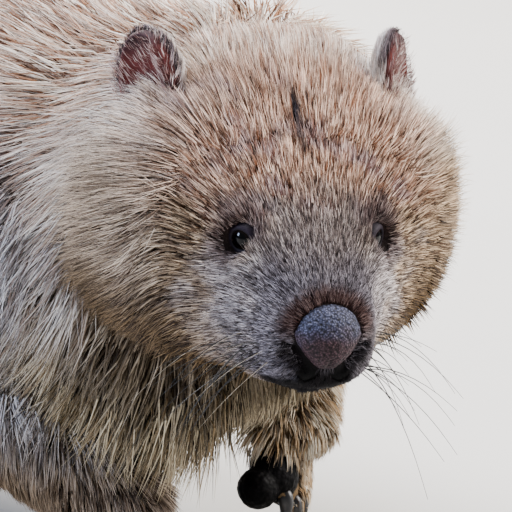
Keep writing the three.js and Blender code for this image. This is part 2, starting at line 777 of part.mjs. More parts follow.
// The torso, then the legs and the neck, each cut clear of those before it
const NECK = neckForm();
const neckOutline = NECK.solid();
const torsoOutline = TORSO.solid();
const legShapes = [];
for (const side of Object.keys(SIDES)) {
  legShapes.push({ kind: "fore", side, lengths: foreleg(side) });
  legShapes.push({ kind: "hind", side, lengths: hindleg(side) });
}
const legOutlines = legShapes.map(({ lengths }) => legOutline(lengths));
const torsoCore = TORSO.inset(() => COAT.torso.depth).solid();
const torsoHair = outside(
  locks(TORSO, COAT.torso, {
    from: 1.5, to: 8.7, heading: draped(COAT.torso.drape),
    keep: (out, { u }) => u > CHEST_END || out.z < 0, seed: 5,
  }),
  [headOutline, neckOutline, ...legOutlines],
);
const torso = clearOf(joined(torsoCore, ...solids(torsoHair)), skullThere, jawThere, feet.foreleft);
add("torso", clearOfLocks(torso, ruffThere), FINISHES.coat);

const legs = legShapes.map(({ kind, side, lengths }, i) => {
  const dressed = dressLeg(lengths, side, 21 + 10 * i);
  const hair = outside(dressed.hair, [torsoOutline, neckOutline, headOutline]);
  const whole = joined(dressed.core, ...solids(hair));
  const clear = clearOf(whole, torsoCore, feet[kind + side], skullThere, jawThere);
  add(`${kind}leg_${side}`, clearOfLocks(clear, [...torsoHair, ...ruffThere]), FINISHES.coat);
  return { kind, core: dressed.core, hair };
});
const forelegs = legs.filter(({ kind }) => kind === "fore");

const neckCore = NECK.inset(() => COAT.neck.depth).solid();
const neckHair = outside(
  locks(NECK, COAT.neck, { from: 2.6, to: 4.1, heading: draped(COAT.neck.drape), seed: 71 }),
  [headOutline],
);
const neckSolid = joined(neckCore, ...solids(neckHair));
const neckClear = clearOf(
  neckSolid, skullThere, jawThere, torsoCore, ...forelegs.map(({ core }) => core),
);
const nearNeck = [...torsoHair, ...ruffThere, ...forelegs.flatMap(({ hair }) => hair)];
add("neck", clearOfLocks(neckClear, nearNeck), FINISHES.coat);
add("tail", clearOfLocks(clearOf(tail(), torsoCore), torsoHair), FINISHES.coat);

// The origin goes to the middle of the footprint, level with the soles
const bounds = new THREE.Box3().setFromObject(wombat, true);
const middle = bounds.getCenter(vec(0, 0, 0));
wombat.position.set(-middle.x, -middle.y, -bounds.min.z);

export default wombat;
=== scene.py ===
"""Dresses a young bare-nosed wombat in mid-step: skin, coat, eyes, nose, ears, claws and whiskers.

The animal faces -Y, its left side is +X and +Z is up. Tables of sizes are in millimetres, as
their names or comments say, and everything that is built is in metres. The head has a frame of
its own, whose origin is midway between the fronts of the eyes: x to the animal's left, y to the
nape and z to the crown.
"""

import logging
import math
from dataclasses import dataclass, field, replace
from enum import Enum

import bpy
import numpy as np
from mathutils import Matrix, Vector
from mathutils.kdtree import KDTree


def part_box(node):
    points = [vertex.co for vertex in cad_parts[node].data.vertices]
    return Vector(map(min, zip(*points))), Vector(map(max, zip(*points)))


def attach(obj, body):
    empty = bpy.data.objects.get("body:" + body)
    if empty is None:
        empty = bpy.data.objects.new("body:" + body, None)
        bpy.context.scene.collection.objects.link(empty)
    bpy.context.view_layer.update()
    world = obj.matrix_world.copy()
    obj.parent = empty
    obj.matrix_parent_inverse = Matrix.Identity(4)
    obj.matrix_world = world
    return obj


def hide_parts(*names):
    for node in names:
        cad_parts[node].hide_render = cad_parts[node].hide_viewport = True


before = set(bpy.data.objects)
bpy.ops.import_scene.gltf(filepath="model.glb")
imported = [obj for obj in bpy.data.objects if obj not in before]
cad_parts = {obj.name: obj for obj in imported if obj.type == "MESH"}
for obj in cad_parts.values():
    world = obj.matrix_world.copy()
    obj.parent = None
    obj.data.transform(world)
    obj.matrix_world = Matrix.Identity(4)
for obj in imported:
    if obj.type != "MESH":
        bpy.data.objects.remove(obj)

LOG = logging.getLogger("wombat")
Array = np.ndarray
Triple = tuple[float, float, float]
Object = bpy.types.Object
Material = bpy.types.Material
MM = 0.001
BODY = "root"
FORWARD = np.array([0.0, -1.0, 0.0])
BACKWARD = np.array([0.0, 1.0, 0.0])
UPWARD = np.array([0.0, 0.0, 1.0])


class Side(Enum):
    """The animal's two sides, as the sign of x."""

    LEFT = 1
    RIGHT = -1

    @property
    def word(self) -> str:
        """The side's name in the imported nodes."""
        return self.name.lower()


class Kind(Enum):
    """Front and rear limbs."""

    FORE = "fore"
    HIND = "hind"


def is_lifted(kind: Kind, side: Side) -> bool:
    """Whether this is the limb that hangs clear of the floor."""
    return kind is Kind.FORE and side is Side.LEFT


def unit(vectors: Array) -> Array:
    """Vectors scaled to length one, along the last axis."""
    return vectors / np.maximum(np.linalg.norm(vectors, axis=-1, keepdims=True), 1e-12)


def turned(x: float = 0.0, y: float = 0.0, z: float = 0.0) -> Array:
    """A rotation that tilts about Y, then dips about X, then turns about Z.

    Args:
        x: Dip in degrees.
        y: Tilt in degrees.
        z: Turn in degrees.

    Returns:
        The 3 by 3 matrix.
    """
    (cx, sx), (cy, sy), (cz, sz) = (
        (math.cos(math.radians(a)), math.sin(math.radians(a))) for a in (x, y, z)
    )
    about_x = np.array([[1, 0, 0], [0, cx, -sx], [0, sx, cx]])
    about_y = np.array([[cy, 0, sy], [0, 1, 0], [-sy, 0, cy]])
    about_z = np.array([[cz, -sz, 0], [sz, cz, 0], [0, 0, 1]])
    return about_z @ about_x @ about_y


def through(rows: Array, u: Array) -> Array:
    """A smooth curve through rows of numbers.

    Args:
        rows: One row for each station.
        u: Positions, where 0 is the first row.

    Returns:
        One row for each position.
    """
    last = len(rows) - 1
    i = np.clip(np.floor(u).astype(int), 0, last - 1)
    t = (u - i)[:, None]
    a, b, c, d = (rows[np.clip(i + k, 0, last)] for k in (-1, 0, 1, 2))
    turn = 2 * a - 5 * b + 4 * c - d
    bend = 3 * b - a - 3 * c + d
    return 0.5 * (2 * b + (c - a) * t + turn * t**2 + bend * t**3)


def ripple(points: Array, scale: float, seed: int, waves: int = 7) -> Array:
    """Smooth noise from crossed waves, about -1 to 1.

    Args:
        points: Places in metres.
        scale: Size of the patches in metres.
        seed: Which noise.
        waves: How many waves are added.

    Returns:
        One value for each place.
    """
    random = np.random.default_rng(seed)
    ways = unit(random.normal(size=(waves, 3))) * (2 * math.pi / scale)
    ways *= random.uniform(0.6, 1.5, (waves, 1))
    phase = random.uniform(0, 2 * math.pi, waves)
    return np.sin(points @ ways.T + phase).sum(1) / math.sqrt(waves)


def ease(value: Array, low: float, high: float) -> Array:
    """0 below low, 1 above high and a smooth rise between them, or a fall if high is lower."""
    t = np.clip((value - low) / (high - low), 0, 1)
    return t * t * (3 - 2 * t)


def out_of(points: Array, centre: Array, radii: Array) -> Array:
    """How far places lie from the middle of an egg, 1 on its surface."""
    return np.linalg.norm((points - centre) / radii, axis=1)


def srgb(code: int) -> Array:
    """A colour from its hexadecimal code, as linear red, green and blue."""
    parts = np.array([(code >> 16) & 255, (code >> 8) & 255, code & 255]) / 255
    return np.where(parts <= 0.04045, parts / 12.92, ((parts + 0.055) / 1.055) ** 2.4)


@dataclass(frozen=True)
class Tone:
    """The colours of one stretch of coat: its dark hairs, its main colour and its pale tips."""

    dark: int
    mid: int
    pale: int

    def row(self) -> Array:
        """The three colours side by side, as nine linear numbers."""
        return np.concatenate([srgb(self.dark), srgb(self.mid), srgb(self.pale)])


@dataclass(frozen=True)
class Markings:
    """The coat's colours, region by region; a few regions carry painted light or shade."""

    forehead: Tone = Tone(0x280F08, 0x7A4E34, 0xFFDCC2)
    violet: Tone = Tone(0x24161E, 0x6A5058, 0xC2B4BE)
    crown: Tone = Tone(0x4E2818, 0xB6805A, 0xFFF2E0)
    bridge: Tone = Tone(0x140D0B, 0x524440, 0xB6A8A0)
    muzzle: Tone = Tone(0x0A070A, 0x302B33, 0x8A8692)
    rim_fur: Tone = Tone(0x180C0E, 0x38221F, 0x6E5A56)
    # lips: near black, for the dark lips and for painted shade in the mouth and the nostrils
    lips: Tone = Tone(0x030203, 0x080607, 0x1C171A)
    lid_fur: Tone = Tone(0x1E1216, 0x503C3C, 0x8C7C7C)
    under_eye: Tone = Tone(0x2C2220, 0x948884, 0xF8F2F4)
    cheek: Tone = Tone(0x180C06, 0x523824, 0xE0C4A2)
    # jowl: painted shade, the lower cheeks darkened as if shadowed from above
    jowl: Tone = Tone(0x0A0502, 0x26170A, 0x745830)
    ruff_backlit: Tone = Tone(0x644C3C, 0xEEDCC4, 0xFFFDFA)
    back: Tone = Tone(0x50301E, 0xBC8864, 0xFFF4E2)
    flank: Tone = Tone(0x342620, 0xA48C84, 0xF8F6FA)
    shoulder: Tone = Tone(0x1E1614, 0x7A6E68, 0xF2F2F6)
    rump: Tone = Tone(0x44301C, 0xA07C52, 0xF0DCB8)
    belly: Tone = Tone(0x3E2E1C, 0x80683F, 0xBCA674)
    chest: Tone = Tone(0x140F09, 0x806A4A, 0xD6C6A6)
    # throat: painted shade under the head, nearly black
    throat_shade: Tone = Tone(0x040201, 0x140D06, 0x5A4830)
    leg: Tone = Tone(0x160D08, 0x54402E, 0xB49C80)
    # forearm: painted light, a much paler copy of the leg colour for the lifted foreleg and its
    # foot, as if in sun
    lit_forearm: Tone = Tone(0x3C2412, 0xE6BE88, 0xFFFCEC)
    foot: Tone = Tone(0x140A07, 0x4C3020, 0xA08058)
    ear_back: Tone = Tone(0x6A564E, 0xD8C2B8, 0xFFFCF8)
    ear_rim: Tone = Tone(0x0E080A, 0x3A2C30, 0x8A7C80)
    ear_inside: Tone = Tone(0x4A2220, 0x9C706A, 0xF0E0DA)
    rufous: Tone = Tone(0x3E1A0C, 0x9C5C38, 0xF0BC94)
    mark: Tone = Tone(0x0C080C, 0x181318, 0x3A343C)


class Anatomy:
    """Where the body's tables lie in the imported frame, worked out from the two eyes."""

    TURN, DIP, TILT = -26.0, 14.0, 3.5
    EYE_MIDPOINT = np.array([-44.0, -303.0, 190.0]) * MM
    EYE_RADIUS = 8.5 * MM
    EYE_SPACING = 68 * MM
    EYE_OUTWARD = 50.0

    def __init__(self) -> None:
        """Reads the boxes of the two eyes."""
        self.head_turn = turned(self.DIP, self.TILT, self.TURN)
        boxes = [np.array(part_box(f"eye_{side.word}")) for side in Side]
        centre = np.mean([box.mean(0) for box in boxes], axis=0)
        behind = np.mean([self.eye(side)[0] for side in Side], axis=0)
        self.head_origin = centre - self.head_turn @ behind
        self.shift = self.head_origin - self.EYE_MIDPOINT

    def eye(self, side: Side) -> tuple[Array, Array]:
        """Where an eyeball's centre lies and which way it looks.

        Args:
            side: Which eye.

        Returns:
            The centre and the direction, in the head's frame.
        """
        outward = math.radians(self.EYE_OUTWARD)
        gaze = unit(np.array([side.value * math.sin(outward), -math.cos(outward), 0.06]))
        front = np.array([side.value * self.EYE_SPACING / 2, 0, 0])
        return front - gaze * self.EYE_RADIUS, gaze

    def eye_frame(self, side: Side) -> tuple[Array, Array, Array, Array]:
        """The directions of an eyeball's own frame.

        Args:
            side: Which eye.

        Returns:
            Its centre, the way it looks, and the directions across it and up it.
        """
        centre, gaze = self.eye(side)
        across = unit(np.cross(gaze, UPWARD))
        return centre, gaze, across, np.cross(across, gaze)

    def round_eye(self, side: Side, local: Array) -> tuple[Array, Array, Array]:
        """How places lie round an eye's line of sight.

        Args:
            side: Which eye.
            local: Places in the head's frame.

        Returns:
            How far out each place is, in which direction, and whether it is before the centre.
        """
        centre, gaze = self.eye(side)
        away = local - centre
        ahead = away @ gaze
        out = away - gaze * ahead[:, None]
        return np.linalg.norm(out, axis=1), unit(out), ahead > 0

    def from_head(self, points: Array) -> Array:
        """Places of the head's frame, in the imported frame."""
        return points @ self.head_turn.T + self.head_origin

    def to_head(self, points: Array) -> Array:
        """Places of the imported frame, in the head's frame."""
        return (points - self.head_origin) @ self.head_turn

    def from_body(self, points: Array) -> Array:
        """Places of the body's tables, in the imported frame."""
        return points + self.shift


@dataclass
class Shell:
    """A surface as points and triangles."""

    points: Array
    faces: Array

    def moved(self, turn: Array, origin: Array) -> "Shell":
        """The same surface, turned and then shifted."""
        return Shell(self.points @ turn.T + origin, self.faces)

    def normals(self) -> Array:
        """Averages the directions that the triangles face.

        Returns:
            The outward direction at each point.
        """
        a, b, c = (self.points[self.faces[:, k]] for k in range(3))
        across = np.cross(b - a, c - a)
        total = np.zeros_like(self.points)
        for k in range(3):
            np.add.at(total, self.faces[:, k], across)
        return unit(total)

    def kept(self, inside: Array) -> "Shell":
        """Leaves out part of the surface.

        Args:
            inside: Which points stay.

        Returns:
            The triangles whose three points stay.
        """
        faces = self.faces[inside[self.faces].all(1)]
        used = np.unique(faces)
        place = np.zeros(len(self.points), int)
        place[used] = np.arange(len(used))
        return Shell(self.points[used], place[faces])

    @property
    def edges(self) -> Array:
        """The three edges of each triangle, as pairs of points."""
        return np.vstack([self.faces[:, [0, 1]], self.faces[:, [1, 2]], self.faces[:, [2, 0]]])

    def closed(self) -> "Shell":
        """Puts a wall across each opening, out of sight inside the body.

        Returns:
            The closed surface.
        """
        edges = self.edges
        size = len(self.points)
        forth, back = edges[:, 0] * size + edges[:, 1], edges[:, 1] * size + edges[:, 0]
        rim = edges[~np.isin(forth, back)]
        group = np.arange(size)
        for _ in range(len(rim)):
            lower = np.minimum(group[rim[:, 0]], group[rim[:, 1]])
            before = group.copy()
            np.minimum.at(group, rim[:, 0], lower)
            np.minimum.at(group, rim[:, 1], lower)
            if (group == before).all():
                break
        points, faces = [self.points], [self.faces]
        for number, loop in enumerate(np.unique(group[rim[:, 0]])):
            own = rim[group[rim[:, 0]] == loop]
            points.append(self.points[np.unique(own)].mean(0, keepdims=True))
            hub = np.full(len(own), size + number)
            faces.append(np.stack([own[:, 1], own[:, 0], hub], 1))
        return Shell(np.vstack(points), np.vstack(faces))

    def softened(self, values: Array, rounds: int) -> Array:
        """Averages values at the points with their neighbours'.

        Args:
            values: A row of numbers for each point.
            rounds: How many times.

        Returns:
            The softened values.
        """
        edges = self.edges
        for _ in range(rounds):
            total = values.copy()
            count = np.ones((len(values), 1))
            np.add.at(total, edges[:, 0], values[edges[:, 1]])
            np.add.at(count, edges[:, 0], 1)
            values = total / count
        return values


def oriented(shell: Shell) -> Shell:
    """Turns a closed surface to face outward.

    Args:
        shell: The surface, which may face inward.

    Returns:
        The same surface, facing outward.
    """
    a, b, c = (shell.points[shell.faces[:, k]] for k in range(3))
    volume = np.einsum("ij,ij->i", a - shell.points[0], np.cross(b - a, c - a)).sum()
    return shell if volume > 0 else Shell(shell.points, shell.faces[:, ::-1])


def capped(rings: int, around: int) -> Array:
    """Triangles of a row of rings, closed by one more point before it and one after it.

    Args:
        rings: How many rings there are.
        around: Points in each ring.

    Returns:
        The triangles, where the points come in the order of the row.
    """
    j = np.arange(around)
    after = (j + 1) % around
    end = rings * around + 1
    faces = [np.stack([np.zeros_like(j), 1 + after, 1 + j], 1)]
    faces.append(np.stack([np.full_like(j, end), end - around + j, end - around + after], 1))
    for i in range(rings - 1):
        a, b = 1 + i * around + j, 1 + i * around + after
        faces.append(np.stack([a, b, b + around], 1))
        faces.append(np.stack([a, b + around, a + around], 1))
    return np.vstack(faces)


def joined(shells: list[Shell]) -> Shell:
    """Puts several surfaces into one.

    Args:
        shells: The surfaces.

    Returns:
        All their points and triangles.
    """
    starts = np.cumsum([0] + [len(shell.points) for shell in shells])
    return Shell(
        np.vstack([shell.points for shell in shells]),
        np.vstack([shell.faces + start for shell, start in zip(shells, starts)]),
    )


def make_mesh(name: str, shell: Shell, smooth: bool = True) -> Object:
    """An object of a surface.

    Args:
        name: The object's name.
        shell: Its points and triangles.
        smooth: Whether its faces are shaded smooth.

    Returns:
        The object, linked to the scene.
    """
    mesh = bpy.data.meshes.new(name)
    count = len(shell.faces)
    mesh.vertices.add(len(shell.points))
    mesh.vertices.foreach_set("co", shell.points.astype(np.float32).ravel())
    mesh.loops.add(count * 3)
    mesh.loops.foreach_set("vertex_index", shell.faces.astype(np.int32).ravel())
    mesh.polygons.add(count)
    mesh.polygons.foreach_set("loop_start", np.arange(0, count * 3, 3, dtype=np.int32))
    mesh.polygons.foreach_set("use_smooth", np.full(count, smooth))
    mesh.update(calc_edges=True)
    made = bpy.data.objects.new(name, mesh)
    bpy.context.scene.collection.objects.link(made)
    return made


def paint(made: Object, name: str, colours: Array) -> None:
    """Stores a colour at each point of a mesh.

    Args:
        made: The mesh object.
        name: The attribute that the finish reads.
        colours: Linear red, green and blue of each point.
    """
    attribute = made.data.color_attributes.new(name, "FLOAT_COLOR", "POINT")
    rows = np.ones((len(colours), 4), np.float32)
    rows[:, :3] = np.clip(colours, 0, 1)
    attribute.data.foreach_set("color", rows.ravel())


def place(made: Object, finish: Material, slot: str, *nodes: str) -> None:
    """Gives a piece its finish and its place in the model.

    Args:
        made: The piece.
        finish: Its material.
        slot: Not used.
        nodes: The CAD nodes that it stands for.
    """
    made.data.materials.clear()
    made.data.materials.append(finish)
    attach(made, BODY)
    if nodes:
        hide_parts(*nodes)
    LOG.info("%s: %d triangles", made.name, len(made.data.polygons))


def taken(*objects: Object) -> Shell:
    """Takes the first object's surface, with its modifiers applied, and removes the objects.

    Args:
        objects: The object, and any others that its modifiers use.

    Returns:
        The surface.
    """
    shape = objects[0].evaluated_get(bpy.context.evaluated_depsgraph_get()).to_mesh()
    shape.calc_loop_triangles()
    points = np.empty(len(shape.vertices) * 3, np.float32)
    shape.vertices.foreach_get("co", points)
    faces = np.empty(len(shape.loop_triangles) * 3, np.int32)
    shape.loop_triangles.foreach_get("vertices", faces)
    for made in objects:
        mesh = made.data
        bpy.data.objects.remove(made)
        bpy.data.meshes.remove(mesh)
    return Shell(points.reshape(-1, 3).astype(float), faces.reshape(-1, 3).astype(int))


def fused(shells: list[Shell], voxel: float, rounds: int) -> Shell:
    """Closed surfaces melted into one, with the creases between them softened.

    Args:
        shells: The closed surfaces, which overlap.
        voxel: Size of the new surface's faces in metres.
        rounds: How many times it is smoothed.

    Returns:
        The surface that they have in common.
    """
    work = make_mesh("fusing", joined(shells))
    melt = work.modifiers.new("melt", "REMESH")
    melt.mode = "VOXEL"
    melt.voxel_size = voxel
    soften = work.modifiers.new("soften", "SMOOTH")
    soften.factor = 0.5
    soften.iterations = rounds
    return taken(work)


@dataclass
class Form:
    """A rounded body swept through rings, as in the solids.

    Each row of rings holds the ring's centre x, y and z, its half-width, its rise and drop from
    the centre, and how square its upper and lower halves are.
    """

    rings: Array
    axis: Array | None = None
    up: Array = field(default_factory=UPWARD.copy)

    @property
    def last(self) -> int:
        """The position of the last ring."""
        return len(self.rings) - 1

    def frames(self, u: Array) -> tuple[Array, Array]:
        """The directions across and up each ring.

        Args:
            u: Positions along the sweep.

        Returns:
            The two directions at each position.
        """
        if self.axis is None:
            step = 0.05
            ahead = through(self.rings, np.clip(u + step, 0, self.last))[:, :3]
            behind = through(self.rings, np.clip(u - step, 0, self.last))[:, :3]
            along = unit(ahead - behind)
        else:
            along = np.broadcast_to(self.axis, (len(u), 3))
        across = unit(np.cross(along, self.up))
        return across, unit(np.cross(across, along))

    def at(self, u: Array, angle: Array) -> Array:
        """Places on the surface.

        Args:
            u: Positions along the sweep.
            angle: Angles round it in radians.

        Returns:
            The places.
        """
        rows = through(self.rings, u)
        across, up = self.frames(u)
        c, s = np.cos(angle), np.sin(angle)
        power = 2 / np.where(s > 0, rows[:, 6], rows[:, 7])
        side = rows[:, 3] * np.sign(c) * np.abs(c) ** power
        lift = np.where(s > 0, rows[:, 4], rows[:, 5]) * np.sign(s) * np.abs(s) ** power
        return rows[:, :3] + across * side[:, None] + up * lift[:, None]

    def inset(self, depths: Array | float) -> "Form":
        """The form with its surface moved in.

        Args:
            depths: How far, for all rings or for each.

        Returns:
            The smaller form.
        """
        rings = self.rings.copy()
        by = np.broadcast_to(depths, len(rings)).copy()
        ends = np.array([1, 0.6, 0.2])
        facing = np.zeros(len(rings))
        facing[:3] += ends
        facing[-3:] -= ends[::-1]
        if self.axis is not None:
            rings[:, :3] += self.axis * (by * facing)[:, None]
        for k in (3, 4, 5):
            rings[:, k] = np.maximum(rings[:, k] - by, rings[:, k] * 0.3)
        return Form(rings, self.axis, self.up)

    def shell(self, count: int, around: int) -> Shell:
        """The form's closed surface.

        Args:
            count: Steps along the sweep.
            around: Steps round it.

        Returns:
            Points and triangles, facing outward.
        """
        u = np.repeat(self.last * np.arange(1, count) / count, around)
        angle = np.tile(2 * math.pi * np.arange(around) / around, count - 1)
        ends = self.at(np.array([0.0, float(self.last)]), np.zeros(2))
        points = np.vstack([ends[:1], self.at(u, angle), ends[1:]])
        return oriented(Shell(points, capped(count - 1, around)))


def limb(stops: list, flat: float = 1.0, up: Array = FORWARD) -> Form:
    """A round limb through stops, with rounded ends.

    Args:
        stops: Pairs of a place and a radius, in metres.
        flat: Its half-width as a share of its radius.
        up: The direction that its front faces.

    Returns:
        The form.
    """

    def row(p: Array, r: float) -> list[float]:
        """One ring."""
        return [*p, r * flat, r, r, 2, 2]

    def past(start: Array, end: Array, r: float, share: float) -> Array:
        """A place beyond an end."""
        return end + unit(end - start) * r * share

    (p0, r0), (p1, _) = stops[0], stops[1]
    (q1, _), (q0, s0) = stops[-2], stops[-1]
    rings = [row(past(p1, p0, r0, 0.95), 0), row(past(p1, p0, r0, 0.7), r0 * 0.72)]
    rings += [row(p, r) for p, r in stops]
    rings += [row(past(q1, q0, s0, 0.7), s0 * 0.72), row(past(q1, q0, s0, 0.95), 0)]
    return Form(np.array(rings, float), None, up)


def upright(rows: list, above: float, below: float) -> Form:
    """A form with upright rings.

    Args:
        rows: Place along Y, half-width, top, widest level and bottom of each, in millimetres.
        above: How square its upper half is.
        below: How square its lower half is.

    Returns:
        The form, in metres.
    """
    rings = [
        [0, y * MM, level * MM, wide * MM, (top - level) * MM, (level - low) * MM, above, below]
        for y, wide, top, level, low in rows
    ]
    return Form(np.array(rings, float), BACKWARD)


def mm(x: float, y: float, z: float) -> Array:
    """A place given in millimetres."""
    return np.array([x, y, z], float) * MM


@dataclass
class Foot:
    """One foot: where it hangs from, how it is turned and the shapes that it is made of."""

    kind: Kind
    side: Side
    joint: Array
    turn: float
    droop: float
    drop: float
    length: float
    half: float
    toes: list[Triple]
    claw_length: float
    claw_radius: float

    @property
    def matrix(self) -> Array:
        """How the foot is turned."""
        return turned(self.droop, 0, self.turn)

    @property
    def ball(self) -> float:
        """Where the ball of the foot is, along its own Y."""
        return -self.length * 0.38

    def placed(self, shell: Shell, anatomy: Anatomy) -> Shell:
        """A surface of the foot's own frame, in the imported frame."""
        return shell.moved(self.matrix, anatomy.from_body(self.joint))

    def body(self, inset: float) -> Form:
        """Shapes the foot's main form.

        Args:
            inset: How far its top and sides are moved in.

        Returns:
            The form, in the foot's own frame.
        """
        heel, drop, half, front = self.length * 0.3, self.drop, self.half, self.ball
        rows = [
            [0, heel + 8 * MM, -drop * 0.6, 0, 0, 0, 2, 2],
            [0, heel, -drop * 0.6, half * 0.62, drop * 0.52, drop * 0.44, 2.2, 2.6],
            [0, heel * 0.2, -drop * 0.5, half * 0.82, drop * 0.62, drop * 0.54, 2.2, 2.6],
            [0, front * 0.6, -drop * 0.58, half * 0.98, drop * 0.42, drop * 0.46, 2.2, 2.6],
            [0, front, -drop * 0.66, half, drop * 0.3, drop * 0.38, 2.2, 2.6],
            [0, front - 9 * MM, -drop * 0.72, 0, 0, 0, 2, 2],
        ]
        whole = Form(np.array(rows, float), FORWARD.copy())
        small = whole.inset(inset)
        small.rings[:, 5] = whole.rings[:, 5]
        return small

    @property
    def lifted(self) -> bool:
        """Whether it hangs clear of the floor."""
        return self.droop > 0

    def pads(self) -> list[tuple[Array, Array]]:
        """Lists the leather pads.

        Returns:
            The middle and half-sizes of each, in the foot's own frame.
        """
        half, drop = self.half, self.drop
        palm = np.array([0, self.ball * 0.55, -drop * 0.84])
        size = np.array([half * 0.64, half * 0.58, drop * 0.34])
        heel = np.array([0, self.length * 0.16, -drop * 0.84])
        pads = [(palm, size), (heel, np.array([half * 0.5, half * 0.55, drop * 0.24]))]
        if self.lifted:
            palm = np.array([-half * 0.6, self.ball * 0.62, -drop * 0.76])
            size = np.array([half * 0.56, half * 0.56, drop * 0.44])
            ball = np.array([-half * 1.05, self.ball * 0.72, -drop * 0.74 - 8 * MM])
            pads[0] = (palm, size)
            pads.append((ball, np.full(3, 10.5 * MM)))
        for root, tip, _ in self.toe_lines():
            spot = tip * 0.75 + root * 0.25
            spot[2] = -drop * 0.86
            pads.append((spot, np.array([half * 0.2, half * 0.26, drop * 0.2])))
        return pads

    def toe_lines(self) -> list[tuple[Array, Array, float]]:
        """Lists the toes.

        Returns:
            The root and tip of each in the foot's own frame, and how far it is splayed.
        """
        lines = []
        for across, reach, spread in self.toes:
            root = np.array([across * self.half, self.ball + 8 * MM, -self.drop * 0.7])
            angle = math.radians(spread)
            tip = root + np.array([math.sin(angle), -math.cos(angle), 0]) * reach
            tip[2] = -self.drop * 0.74
            lines.append((root, tip, spread))
        return lines


